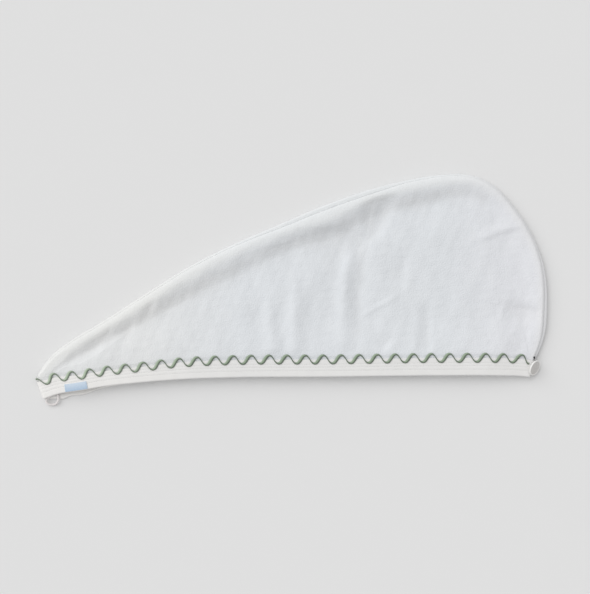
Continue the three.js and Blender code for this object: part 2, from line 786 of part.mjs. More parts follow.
function buttonLoop() {
  const path = new THREE.CatmullRomCurve3(LOOP.route.map((p) => new THREE.Vector3(...p)), false, 'centripetal');
  const section = new THREE.Shape();
  section.absarc(0, 0, LOOP.radius, 0, 2 * Math.PI, false);
  const shape = new THREE.ExtrudeGeometry(section, { steps: 20, curveSegments: 4, bevelEnabled: false, extrudePath: path });
  return shape;
}

function finish(name, shape, colour, roughness) {
  const material = new THREE.MeshStandardMaterial({ color: colour, roughness, metalness: 0 });
  const mesh = new THREE.Mesh(shape, material);
  mesh.name = name;
  return mesh;
}

const towel = new THREE.Group();
towel.add(finish('upper_panel', upperPanel(), 0xf1f2f2, 0.95));
towel.add(finish('lower_panel', lowerPanel(), 0xf1f2f2, 0.95));
towel.add(finish('hem_band', hemBand(), 0xf4f3ef, 0.85));
towel.add(finish('wave_trim', waveTrim(), 0x768a73, 0.7));
towel.add(finish('side_label', sideLabel(), 0xb7c8da, 0.7));
const button = finish('button', buttonShape(), 0xd9d5cf, 0.4);
button.quaternion.setFromUnitVectors(new THREE.Vector3(0, 0, 1), BUTTON.facing.clone().normalize());
button.position.copy(BUTTON.centre);
towel.add(button);
towel.add(finish('button_loop', buttonLoop(), 0xe9e6e0, 0.75));

export default towel;
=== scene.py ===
"""A terry hair towel lying flat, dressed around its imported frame.

Lengths in the tables are millimetres in the frame's own axes: +X runs along the towel to its
wide end, +Y across it and +Z up. Meshes are written in metres.
"""

import logging
import math
from dataclasses import dataclass, field
from enum import Enum

import bpy
import numpy as np
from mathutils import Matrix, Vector
from mathutils.bvhtree import BVHTree

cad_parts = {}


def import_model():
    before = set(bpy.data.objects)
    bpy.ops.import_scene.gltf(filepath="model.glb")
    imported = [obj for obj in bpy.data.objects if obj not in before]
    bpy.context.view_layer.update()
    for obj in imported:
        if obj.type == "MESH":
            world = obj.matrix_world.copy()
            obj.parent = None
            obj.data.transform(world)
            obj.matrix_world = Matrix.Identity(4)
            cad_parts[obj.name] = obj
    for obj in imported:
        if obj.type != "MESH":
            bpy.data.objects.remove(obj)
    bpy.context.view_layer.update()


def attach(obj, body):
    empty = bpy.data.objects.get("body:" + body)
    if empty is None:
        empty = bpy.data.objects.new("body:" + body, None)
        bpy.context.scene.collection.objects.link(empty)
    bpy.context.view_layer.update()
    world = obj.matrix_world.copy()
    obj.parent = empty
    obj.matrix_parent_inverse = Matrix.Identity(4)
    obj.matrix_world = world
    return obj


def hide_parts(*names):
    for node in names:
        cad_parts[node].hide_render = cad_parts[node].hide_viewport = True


LOG = logging.getLogger("hair_towel")

MM = 0.001
BODY = "root"


def smooth(start: float, end: float, value: np.ndarray) -> np.ndarray:
    """Rises smoothly from 0 at start to 1 at end."""
    t = np.clip((np.asarray(value, float) - start) / (end - start), 0.0, 1.0)
    return t * t * (3.0 - 2.0 * t)


def mix(a: np.ndarray, b: np.ndarray, t: np.ndarray) -> np.ndarray:
    """Goes from a to b as t goes from 0 to 1."""
    return a + (b - a) * t


def unit(vectors: np.ndarray) -> np.ndarray:
    """Scales each vector of the last axis to length 1."""
    return vectors / np.linalg.norm(vectors, axis=-1, keepdims=True)


def columns(*values: np.ndarray) -> np.ndarray:
    """Puts values of one shape side by side on a new last axis."""
    return np.stack(np.broadcast_arrays(*values), axis=-1)


def arc_lengths(points: np.ndarray) -> np.ndarray:
    """Returns how far along a line of points each of them lies."""
    steps = np.linalg.norm(np.diff(points, axis=0), axis=1)
    return np.concatenate([[0.0], np.cumsum(steps)])


def circle(turn: np.ndarray, side: np.ndarray, other: np.ndarray) -> np.ndarray:
    """Returns points on a circle of radius 1 that lies in the two given directions."""
    return np.outer(np.cos(turn), side) + np.outer(np.sin(turn), other)


def signed_power(value: np.ndarray, power: float) -> np.ndarray:
    """Raises the size of a value to a power and keeps its sign."""
    return np.sign(value) * np.abs(value) ** power


# The outline, the hem and the folds.


@dataclass(frozen=True)
class SeamRow:
    """A place on the curved outline, and the padded rim's section there."""

    x: float
    y: float
    lip: float  # distance in to the seam, past the lower layer's rolled edge
    crest: float  # distance in to the rim's crest
    bottom: float  # distance in to the bottom of the hollow inside the rim
    dip: float  # depth of that hollow below the crest


@dataclass(frozen=True)
class HemRow:
    """A place on the bound edge: the binding's width there, and how far the lower layer peeks out."""

    x: float
    y: float
    width: float
    peek: float


@dataclass(frozen=True)
class Crease:
    """A ridge (height above 0) or a dent (below 0) along a line in the upper panel."""

    name: str
    path: tuple[tuple[float, float], ...]
    left: float  # reach on the left of the path as it is walked
    right: float
    height: float


SEAM = [
    SeamRow(-325.5, -121.0, 2.4, 5.2, 14.0, 0.0),
    SeamRow(-325.3, -113.6, 2.4, 6.0, 16.0, 0.4),
    SeamRow(-320.6, -105.4, 2.4, 7.4, 18.0, 0.9),
    SeamRow(-306.4, -87.8, 2.4, 9.6, 21.0, 1.8),
    SeamRow(-282.2, -68.7, 2.4, 11.5, 25.0, 3.0),
    SeamRow(-244.1, -45.8, 2.5, 11.0, 27.0, 3.6),
    SeamRow(-186.8, -8.9, 2.6, 12.2, 33.0, 5.0),
    SeamRow(-129.5, 26.7, 2.6, 12.8, 39.0, 5.0),
    SeamRow(-72.3, 55.4, 2.8, 12.6, 40.0, 5.2),
    SeamRow(-15.0, 80.2, 4.8, 13.0, 38.0, 5.4),
    SeamRow(42.2, 104.3, 6.0, 19.0, 44.0, 6.0),
    SeamRow(99.5, 124.1, 5.6, 12.8, 37.0, 5.4),
    SeamRow(156.8, 138.1, 2.8, 12.4, 38.0, 5.2),
    SeamRow(194.0, 143.2, 2.2, 11.0, 34.0, 5.0),
    SeamRow(216.0, 143.8, 2.2, 9.6, 32.0, 3.6),
    SeamRow(242.0, 138.1, 2.2, 8.6, 30.0, 3.4),
    SeamRow(263.7, 124.1, 2.0, 7.6, 30.0, 3.2),
    SeamRow(281.5, 104.0, 2.0, 7.2, 30.0, 3.2),
    SeamRow(297.0, 83.0, 2.0, 7.2, 30.0, 3.2),
    SeamRow(309.8, 59.4, 2.2, 7.4, 32.0, 3.6),
    SeamRow(319.7, 33.1, 2.8, 7.8, 33.0, 3.8),
    SeamRow(324.9, 3.8, 3.8, 8.4, 33.0, 3.8),
    SeamRow(325.5, -26.7, 4.4, 8.8, 32.0, 4.2),
    SeamRow(323.3, -57.3, 4.4, 8.8, 29.0, 3.6),
    SeamRow(317.3, -79.4, 4.0, 7.6, 23.0, 2.0),
    SeamRow(311.2, -92.4, 3.0, 6.0, 16.0, 0.0),
]

HEM = [
    HemRow(-317.2, -143.3, 22.0, 0.0),
    HemRow(-305.1, -138.2, 21.5, 4.5),
    HemRow(-295.0, -135.2, 21.0, 7.8),
    HemRow(-282.0, -133.2, 20.3, 5.2),
    HemRow(-269.5, -131.4, 19.8, 6.0),
    HemRow(-244.1, -126.8, 19.2, 2.6),
    HemRow(-193.2, -121.1, 19.4, 0.4),
    HemRow(-142.3, -117.1, 21.2, 0.0),
    HemRow(-65.9, -114.5, 22.0, 0.0),
    HemRow(35.9, -113.9, 22.0, 0.0),
    HemRow(188.6, -112.2, 22.2, 0.0),
    HemRow(264.9, -112.4, 22.2, 0.0),
    HemRow(290.4, -113.2, 22.0, 0.0),
    HemRow(304.4, -114.5, 22.0, 0.0),
]

CREASES = [
    Crease("main ridge", ((77, 52), (72, 30), (68, 6), (66, -14), (67, -34), (64, -72)), 10.0, 10.0, 3.9),
    Crease("dent right of it", ((94, 56), (88, 28), (84, 4), (81, -16), (82, -70)), 10.0, 42.0, -3.0),
    Crease("hooked dent", ((114, 80), (102, 66), (90, 57), (80, 46)), 5.5, 14.0, -1.9),
    Crease("dent across the rim", ((129, 120), (115, 97), (104, 66)), 11.0, 30.0, -4.4),
    Crease("end of the puff", ((82, 104), (88, 86), (90, 66)), 8.0, 8.0, 1.6),
    Crease("hollow under the puff", ((12, 60), (42, 67), (70, 69), (94, 62)), 10.0, 36.0, -2.8),
    Crease("second ridge", ((6, 6), (3, -42), (4, -92)), 11.0, 8.5, 3.4),
    Crease("soft ridge", ((-30, -14), (-25, -66), (-25, -98)), 9.5, 8.0, 2.6),
    Crease("softer ridge", ((-56, 0), (-62, -88)), 10.0, 10.0, 1.0),
    Crease("right dent", ((171, -22), (171, -96)), 7.0, 24.0, -2.4),
    Crease("ridge beside it", ((158, -24), (157, -94)), 9.0, 8.0, 1.2),
    Crease("upper right dent", ((141, 40), (140, 2)), 7.0, 22.0, -1.7),
    Crease("low right dent", ((126, -62), (112, -82)), 5.5, 16.0, -2.2),
    Crease("thin diagonal crease", ((86, -38), (112, -24), (139, -7)), 3.0, 4.0, 0.85),
    Crease("crease to the seam", ((236, 60), (262, 71), (295, 80)), 7.5, 5.0, 1.9),
    Crease("nick in the right edge", ((270, -24), (296, -29), (324, -35)), 7.0, 22.0, -3.0),
    Crease("first left dent", ((-229, -51), (-244, -66), (-258, -88)), 7.0, 12.0, -2.6),
    Crease("second left dent", ((-204, -40), (-213, -74)), 6.5, 13.0, -2.1),
    Crease("third left dent", ((-176, -16), (-185, -36)), 5.5, 12.0, -2.0),
    Crease("broad diagonal dent", ((-122, -4), (-172, -34)), 13.0, 16.0, -1.2),
]


@dataclass(frozen=True)
class Ripple:
    """Waves of one size in the small unevenness of the upper panel."""

    length: float
    height: float
    count: int


RIPPLES = [Ripple(58.0, 0.16, 7), Ripple(27.0, 0.085, 9), Ripple(13.0, 0.035, 9)]


class Line:
    """A smooth line through the rows of a table. Every column is carried along it."""

    reach = 2.5  # how far on both sides of a place its heading is measured
    batch = 4000  # the number of plan points that are looked at in one go

    def __init__(self, rows: list, names: tuple[str, ...], spacing: float = 2.0) -> None:
        """Samples the line.

        Args:
            rows: The table's rows. x and y are among their fields.
            names: The fields to carry, x and y first.
            spacing: The longest step between samples, in millimetres.
        """
        self.names = names
        table = np.array([[getattr(row, name) for name in names] for row in rows], float)
        reach = np.hypot(*np.diff(table[:, :2], axis=0).T)
        rise = np.diff(table, axis=0) / reach[:, None]
        slope = np.vstack([rise[:1], rise, rise[-1:]])
        before, after = slope[1:-2], slope[2:-1]
        inner = before * reach[1:, None] + after * reach[:-1, None]
        slopes = np.vstack([rise[:1], inner / (reach[1:] + reach[:-1])[:, None], rise[-1:]])
        samples = [table[:1]]
        for i, length in enumerate(reach):
            count = math.ceil(length / spacing)
            t = (np.arange(1, count + 1) / count)[:, None]
            start, end = table[i], table[i + 1]
            samples.append(
                start * (1 + 2 * t) * (1 - t) ** 2
                + slopes[i] * length * t * (1 - t) ** 2
                + end * (3 - 2 * t) * t**2
                - slopes[i + 1] * length * (1 - t) * t**2
            )
        self.samples = np.vstack(samples)
        self.arcs = arc_lengths(self.samples[:, :2])
        self.length = float(self.arcs[-1])

    def at(self, arc: np.ndarray, name: str) -> np.ndarray:
        """Returns one column's value at distances along the line."""
        return np.interp(arc, self.arcs, self.samples[:, self.names.index(name)])

    def point(self, arc: np.ndarray) -> np.ndarray:
        """Returns the plan points at distances along the line."""
        return columns(self.at(arc, "x"), self.at(arc, "y"))

    def heading(self, arc: np.ndarray) -> np.ndarray:
        """Returns the line's unit direction at distances along it."""
        arc = np.asarray(arc, float)
        return unit(self.point(arc + self.reach) - self.point(arc - self.reach))

    def nearest(self, plan: np.ndarray) -> tuple[np.ndarray, np.ndarray]:
        """Finds the nearest place on the line.

        Args:
            plan: Plan points, with x and y on the last axis.

        Returns:
            How far away the line is, and how far along it the nearest place is.
        """
        flat = plan.reshape(-1, 2)
        start = self.samples[:-1, :2]
        step = np.diff(self.samples[:, :2], axis=0)
        square = (step**2).sum(axis=1)
        away = np.empty(len(flat))
        arc = np.empty(len(flat))
        for first in range(0, len(flat), self.batch):
            piece = slice(first, first + self.batch)
            part = flat[piece, None, :] - start[None]
            t = np.clip((part * step).sum(axis=2) / square, 0.0, 1.0)
            gap = np.linalg.norm(part - t[..., None] * step, axis=2)
            best = gap.argmin(axis=1)
            row = np.arange(len(best))
            away[piece] = gap[row, best]
            arc[piece] = self.arcs[best] + t[row, best] * np.sqrt(square[best])
        return away.reshape(plan.shape[:-1]), arc.reshape(plan.shape[:-1])


class Side(Enum):
    """The two layers of the towel."""

    UPPER = "upper"
    LOWER = "lower"


@dataclass
class TowelForm:
    """The towel's shape as it lies: the seam, the hem and the height of each layer."""

    wall: float = 2.5  # thickness of the terry
    hem_wall: float = 1.2  # and where it is pressed flat in the binding
    crest: float = 12.6  # height of the padded rim's crest
    crest_end: float = 9.4  # and at the two tips
    fullness: float = 2.1  # 2 gives the roll an elliptic section, more a squarer one
    groove: float = 8.3  # height of the upper panel in the seam
    groove_end: float = 5.9  # and at the two tips
    body: float = 10.3  # height of the body past the hollow
    body_rise: tuple[float, float] = (-4.0, 46.0)  # where it rises, counted from the hollow's bottom
    cap: float = 9.0  # how far above the rim the body may come
    cap_rise: tuple[float, float] = (-6.0, 24.0)  # where it may, counted in the same way
    settle: float = 52.0  # distance from a tip at which the rim has its full height
    body_from_hem: tuple[float, float] = (25.0, 78.0)  # where the hem's height gives way to the body's
    shoulder: tuple[float, float] = (-0.5, 5.5)  # where the terry comes up out of the binding
    shoulder_low: float = 0.15  # how far the terry stays below the binding's face there
    band_gap: float = 0.45  # gap between the binding's edge and the terry beside it
    rim_folds: float = 0.3  # share of the folds' height that is left on the rim
    folds_from_crest: tuple[float, float] = (-2.0, 6.0)  # where they get their full height
    folds_from_hem: tuple[float, float] = (24.0, 36.0)
    crease_ends: float = 0.25  # share of a crease's height that is left at its two ends
    crease_fade: float = 0.7  # power of the curve by which it grows from there
    ripple_stray: float = 0.55  # how far a ripple's direction strays, in radians
    ripple_ways: tuple[float, float] = (0.72, 0.28)  # share of ripples along the towel and across it
    ripple_lengths: tuple[float, float] = (0.7, 1.4)  # as shares of the length in the table
    ripple_start: float = 6.28  # the latest start of a wave, in radians
    trough_middle: float = 0.58  # darkest place of the painted shade in the hollow, as a share of the way from the crest to the bottom
    trough_spread: float = 0.42  # how far that painted shade reaches to both sides, as such a share
    trough_full: float = 5.4  # depth of the hollow at which its painted shade is full
    trough_ends: tuple[float, float] = (256.0, 270.0)  # where along X the light reaches into it
    dent_full: tuple[float, float] = (0.4, 4.0)  # depths between which a dent's painted shade grows
    dent_share: float = 0.6  # strength of the painted shade in a full dent
    rim_highlight_fade: tuple[float, float] = (-4.0, 9.0)  # where the painted highlight on the rim ends, counted from its crest
    hem_cover: float = 14.4  # distance from the hem to a panel's edge inside the binding
    hem_spare: float = 16.0  # distance from a tip's fold to the first column's end on the hem
    hem_cover_over: float = 26.0  # distance from a tip over which that edge goes in
    rim_spare: float = 2.5  # how far past its crest the rim's own rows start
    rim_spare_end: float = 1.2  # and at the two tips
    rim_spare_over: float = 24.0
    curl_reach: float = 4.2  # how far in the lower panel's rolled edge starts
    curl_top: float = 7.5  # height of that edge
    curl_top_end: float = 5.3  # and at the two tips
    cloth: float = 0.8  # thickness of the binding's cloth
    half: float = 1.7  # half of the binding's folded thickness
    inner_arm: float = 12.0  # length of the binding's inner arm
    step: float = 14.0  # distance from the hem at which the lower hem is lifted
    band_reach: tuple[float, float] = (23.6, 26.5)  # where the lower panel comes down off the binding
    layer_gap: float = 0.3  # gap between two layers that lie on each other
    turn: float = 3.2  # radius of the binding's middle at the two end folds
    rise: float = 4.0  # how much higher the hem stands in its middle than at the tips
    tip: float = 4.0  # distance from a tip at which the next three changes begin
    rise_over: float = 62.0
    hem_turn_over: float = 34.0
    seam_turn_over: float = 24.0
    lift: float = 1.95  # how far the ribbon below lifts the lower hem
    lift_rise: float = 2.0  # distance over which it comes up
    lift_fade: tuple[float, float] = (31.0, 44.0)  # where it comes down again
    fold_left: tuple[float, float] = (-0.336, 0.942)  # direction of the end fold in the plan
    fold_right: tuple[float, float] = (0.284, 0.959)
    seam: Line = field(default_factory=lambda: Line(SEAM, ("x", "y", "lip", "crest", "bottom", "dip")))
    hem: Line = field(default_factory=lambda: Line(HEM, ("x", "y", "width", "peek")))

    def hem_up(self, arc: np.ndarray) -> np.ndarray:
        """Returns the direction from the hem into the panel."""
        arc = np.asarray(arc, float)
        along = self.hem.heading(arc)
        square = columns(-along[..., 1], along[..., 0])
        left = (arc < self.hem.length / 2)[..., None]
        end = np.where(left, self.fold_left, self.fold_right)
        from_end = np.minimum(arc, self.hem.length - arc)
        return unit(mix(end, square, smooth(self.tip, self.hem_turn_over, from_end)[..., None]))

    def seam_in(self, arc: np.ndarray) -> np.ndarray:
        """Returns the direction from the seam into the panel. It leans along the hem at the tips."""
        along = self.seam.heading(arc)
        square = columns(along[..., 1], -along[..., 0])
        left = (arc < self.seam.length / 2)[..., None]
        lean_left = (self.fold_left[1], -self.fold_left[0])
        lean_right = (-self.fold_right[1], self.fold_right[0])
        lean = np.where(left, lean_left, lean_right)
        from_end = np.minimum(arc, self.seam.length - arc)
        return unit(mix(lean, square, smooth(self.tip, self.seam_turn_over, from_end)[..., None]))

    def hem_top(self, arc: np.ndarray) -> np.ndarray:
        """Returns the height of the binding's outer face on the upper run."""
        from_end = np.minimum(arc, self.hem.length - arc)
        return 2 * (self.turn + self.half) + self.rise * smooth(self.tip, self.rise_over, from_end)

    def hem_lift(self, w: np.ndarray) -> np.ndarray:
        """Returns how far the lower hem is lifted off the surface at a distance w from its edge."""
        raised = smooth(self.step - self.lift_rise, self.step, w)
        return self.lift * raised * (1 - smooth(*self.lift_fade, w))

    def crease_height(self, plan: np.ndarray) -> np.ndarray:
        """Returns the sum of the creases at plan points."""
        total = np.zeros(plan.shape[:-1])
        for crease in CREASES:
            corners = np.array(crease.path, float)
            done = arc_lengths(corners)
            reach = np.diff(done)
            best = np.full(total.shape, np.inf)
            side = np.zeros(total.shape)
            share = np.zeros(total.shape)
            for start, step, length, before in zip(corners, np.diff(corners, axis=0), reach, done):
                t = np.clip(((plan - start) @ step) / length**2, 0.0, 1.0)
                gap = plan - start - t[..., None] * step
                away = np.linalg.norm(gap, axis=-1)
                nearer = away < best
                best = np.where(nearer, away, best)
                side = np.where(nearer, gap[..., 1] * step[0] - gap[..., 0] * step[1], side)
                share = np.where(nearer, (before + t * length) / done[-1], share)
            half = mix(crease.right, crease.left, smooth(-1.0, 1.0, side / reach.mean()))
            taper = mix(self.crease_ends, 1.0, np.sin(math.pi * share) ** self.crease_fade)
            total += crease.height * taper * np.exp(-((best / half) ** 2))
        return total

    def crumple(self, plan: np.ndarray) -> np.ndarray:
        """Returns the small uneven rise and fall of cloth that has been laid down by hand."""
        total = np.zeros(plan.shape[:-1])
        chance = np.random.default_rng(11)
        stray = self.ripple_stray
        for ripple in RIPPLES:
            for _ in range(ripple.count):
                angle = chance.uniform(-stray, stray)
                angle += chance.choice([0.0, math.pi / 2], p=self.ripple_ways)
                length = ripple.length * chance.uniform(*self.ripple_lengths)
                along = plan @ np.array([math.cos(angle), math.sin(angle)])
                start = chance.uniform(0, self.ripple_start)
                total += ripple.height * np.sin(2 * math.pi * along / length + start)
        return total

    def upper_height(self, plan: np.ndarray, row_out: np.ndarray) -> np.ndarray:
        """Returns the height of the upper panel's outer surface.

        Args:
            plan: Plan points.
            row_out: How far out on the roll a rim row is, 1 in the seam, or NaN elsewhere.

        Returns:
            The height of each plan point.
        """
        away, arc = self.seam.nearest(plan)
        low, low_arc = self.hem.nearest(plan)
        tips = self.seam.samples[[0, -1], :2]
        from_tip = np.linalg.norm(plan[..., None, :] - tips, axis=-1).min(axis=-1)
        settle = smooth(0, self.settle, from_tip)
        crest = mix(self.crest_end, self.crest, settle)
        groove = mix(self.groove_end, self.groove, settle)
        lip, reach = self.seam.at(arc, "lip"), self.seam.at(arc, "crest")
        bottom, dip = self.seam.at(arc, "bottom"), self.seam.at(arc, "dip")
        out = np.clip((reach - away) / (reach - lip), 0.0, 1.0)
        out = np.where(np.isnan(row_out), out, row_out)
        rim = groove + (crest - groove) * (1 - out**self.fullness) ** (1 / self.fullness)
        rim = rim - dip * smooth(reach, bottom, away)
        past_hollow = away - bottom
        dome = mix(rim, self.body, settle * smooth(*self.body_rise, past_hollow))
        cap = rim + self.cap * smooth(*self.cap_rise, past_hollow)
        top = self.hem_top(low_arc)
        past_band = low - self.hem.at(low_arc, "width") - self.band_gap
        under = top - self.half + self.hem_wall / 2
        flat = mix(under, top - self.shoulder_low, smooth(*self.shoulder, past_band))
        height = np.minimum(mix(flat, dome, smooth(*self.body_from_hem, low)), cap)
        on_body = mix(self.rim_folds, 1.0, smooth(*self.folds_from_crest, away - reach))
        folds = on_body * smooth(*self.folds_from_hem, low)
        return height + folds * (self.crease_height(plan) + self.crumple(plan))

    def hollow_shade_share(self, plan: np.ndarray) -> np.ndarray:
        """Returns the share of painted shade at plan points, from the hollow inside the rim and from the
        dents, from 0 to 1.
        """
        away, arc = self.seam.nearest(plan)
        reach, bottom = self.seam.at(arc, "crest"), self.seam.at(arc, "bottom")
        middle = mix(reach, bottom, self.trough_middle)
        spread = self.trough_spread * (bottom - reach)
        deep = self.seam.at(arc, "dip") / self.trough_full
        trough = deep * np.exp(-(((away - middle) / spread) ** 2))
        dents = smooth(*self.dent_full, -self.crease_height(plan))
        lit = smooth(*self.trough_ends, self.seam.at(arc, "x"))
        return np.clip(trough * (1 - lit) + self.dent_share * dents, 0.0, 1.0)

    def rim_highlight_share(self, plan: np.ndarray) -> np.ndarray:
        """Returns how far a plan point lies on the padded rim, from 0 to 1, which is the share of its
        painted highlight.
        """
        away, arc = self.seam.nearest(plan)
        return 1 - smooth(*self.rim_highlight_fade, away - self.seam.at(arc, "crest"))

    def lower_height(self, plan: np.ndarray) -> np.ndarray:
        """Returns the height of the lower panel's under side."""
        low, low_arc = self.hem.nearest(plan)
        w = low + self.hem.at(low_arc, "peek")
        on_band = 1 - smooth(*self.band_reach, w)
        return (self.cloth + self.layer_gap) * on_band + self.hem_lift(w)

    def panel_columns(self, arcs: np.ndarray, side: Side) -> dict[str, np.ndarray]:
        """Returns where each column of a panel leaves the rim and where it ends at the hem.

        Args:
            arcs: The distance along the seam of each column.
            side: The layer.

        Returns:
            By name: the seam's points, the directions into the panel, the points where the rim's
            own rows start, the points on the hem, and how far from those the binding's edge is.
        """
        share = arcs / self.seam.length
        start = self.seam.point(arcs)
        into = self.seam_in(arcs)
        hem_arc = mix(self.hem_spare, self.hem.length - self.hem_spare, share)
        from_end = np.minimum(share, 1 - share) * self.hem.length
        peek = self.hem.at(hem_arc, "peek") if side is Side.LOWER else np.zeros_like(share)
        beside = self.hem.at(hem_arc, "width") + self.band_gap
        rise = mix(beside, self.hem_cover, smooth(0, self.hem_cover_over, from_end)) - peek
        end = self.hem.point(hem_arc) + self.hem_up(hem_arc) * rise[:, None]
        from_tip = np.minimum(arcs, self.seam.length - arcs)
        spare = mix(self.rim_spare_end, self.rim_spare, smooth(0, self.rim_spare_over, from_tip))
        reach = self.seam.at(arcs, "crest") + spare
        edge = np.maximum(beside - peek - rise, 0.0)
        rim = start + into * reach[:, None]
        return {"start": start, "into": into, "rim": rim, "end": end, "edge": edge}


class BandRing:
    """The binding's middle surface as one loop round the opening, for all that is sewn to it."""

    run_step = 1.0  # step between stations of the two straight runs
    fold_step = 5  # and of the two end folds, in degrees

    def __init__(self, form: TowelForm, gap: float) -> None:
        """Samples the loop: the upper run from the wide end, the left fold, and back below.

        Args:
            form: The towel's shape.
            gap: How far outside the band the distances along the loop are measured.
        """
        self.form = form
        hem = form.hem
        centre = form.turn + form.half
        runs = np.arange(centre, hem.length - centre, self.run_step)
        arcs = np.append(runs, hem.length - centre)
        angles = np.radians(np.arange(self.fold_step, 180, self.fold_step))
        left = np.full(len(angles), centre)
        right = np.full(len(angles), hem.length - centre)
        upper = self._run(arcs[::-1], Side.UPPER)
        lower = self._run(arcs, Side.LOWER)
        left_fold = self._fold(left, angles, form.fold_left, -1.0)
        right_fold = self._fold(right, angles[::-1], form.fold_right, 1.0)
        first = {key: value[:1] for key, value in upper.items()}
        parts = [upper, left_fold, lower, right_fold, first]
        self.table = {key: np.concatenate([part[key] for part in parts]) for key in upper}
        path = self._offset(self.table, self.table["width"], form.half + gap)
        self.s = arc_lengths(path)
        self.upper_s = self.s[: len(arcs)]
        self.upper_arcs = arcs[::-1]
        self.upper_x = path[: len(arcs), 0]
        self.left_start = self.s[len(arcs) - 1]
        self.left_end = self.s[len(arcs) + len(angles)]
        self.lower_end = self.s[2 * len(arcs) + len(angles) - 1]
        self.length = float(self.s[-1])

    def _stations(
        self, arcs: np.ndarray, place: np.ndarray, normal: np.ndarray, lift: np.ndarray
    ) -> dict[str, np.ndarray]:
        """Returns stations with all that is known of them.

        Args:
            arcs: The distance along the hem of each station.
            place: Its place on the middle surface.
            normal: The direction out of the band there.
            lift: How much of the lower hem's lift it takes, from 0 to 1.

        Returns:
            The stations' columns by name.
        """
        form = self.form
        return {
            "place": place,
            "up": np.column_stack([form.hem_up(arcs), np.zeros(len(arcs))]),
            "normal": normal,
            "width": form.hem.at(arcs, "width"),
            "peek": np.zeros(len(arcs)),
            "lift": lift,
        }

    def _run(self, arcs: np.ndarray, side: Side) -> dict[str, np.ndarray]:
        """Returns the stations of one straight run."""
        form = self.form
        count = len(arcs)
        foot = form.hem.point(arcs)
        if side is Side.UPPER:
            place = np.column_stack([foot, form.hem_top(arcs) - form.half])
            return self._stations(arcs, place, np.tile([0.0, 0.0, 1.0], (count, 1)), np.zeros(count))
        place = np.column_stack([foot, np.full(count, form.half)])
        found = self._stations(arcs, place, np.tile([0.0, 0.0, -1.0], (count, 1)), np.ones(count))
        found["peek"] = form.hem.at(arcs, "peek")
        return found

    def _fold(
        self, arcs: np.ndarray, angles: np.ndarray, fold: tuple[float, float], side: float
    ) -> dict[str, np.ndarray]:
        """Returns the stations of one end fold.

        Args:
            arcs: The distance along the hem of each station.
            angles: How far each is turned, from 0 in the upper run to a half turn in the lower one.
            fold: The fold's direction in the plan.
            side: -1 for the left fold and 1 for the right one.

        Returns:
            The stations' columns by name.
        """
        form = self.form
        out = np.array([side * fold[1], -side * fold[0]])
        normal = np.column_stack([np.outer(np.sin(angles), out), np.cos(angles)])
        foot = form.hem.point(arcs)
        place = np.column_stack([foot, np.full(len(arcs), form.turn + form.half)])
        lift = smooth(math.pi / 2, math.pi, angles)
        return self._stations(arcs, place + form.turn * normal, normal, lift)

    def _offset(self, station: dict, w: np.ndarray, n: np.ndarray) -> np.ndarray:
        """Returns points w up from the hem and n out from the middle surface."""
        w = np.broadcast_to(w, station["width"].shape)
        n = np.broadcast_to(n, station["width"].shape)
        point = station["place"] + station["up"] * (w - station["peek"])[:, None]
        point = point + station["normal"] * n[:, None]
        point[:, 2] += station["lift"] * self.form.hem_lift(w)
        return point

    def stations(self, s: np.ndarray) -> dict[str, np.ndarray]:
        """Returns the loop's stations at distances along it."""
        found = {}
        for key, value in self.table.items():
            if value.ndim == 1:
                found[key] = np.interp(s, self.s, value)
            else:
                found[key] = columns(*(np.interp(s, self.s, value[:, k]) for k in range(3)))
        for key in ("up", "normal"):
            found[key] = unit(found[key])
        return found

    def place(self, s: np.ndarray, w: np.ndarray, n: np.ndarray) -> np.ndarray:
        """Returns points at distances along the loop, w up from the hem and n out."""
        return self._offset(self.stations(s), w, n)

    def at_x(self, x: float) -> float:
        """Returns the distance along the loop at which the upper run passes x."""
        return float(np.interp(-x, -self.upper_x, self.upper_s))

    def at_hem(self, arc: float) -> float:
        """Returns the distance along the loop of a place on the upper run, given along the hem."""
        return float(np.interp(-arc, -self.upper_arcs, self.upper_s))


# Meshes.


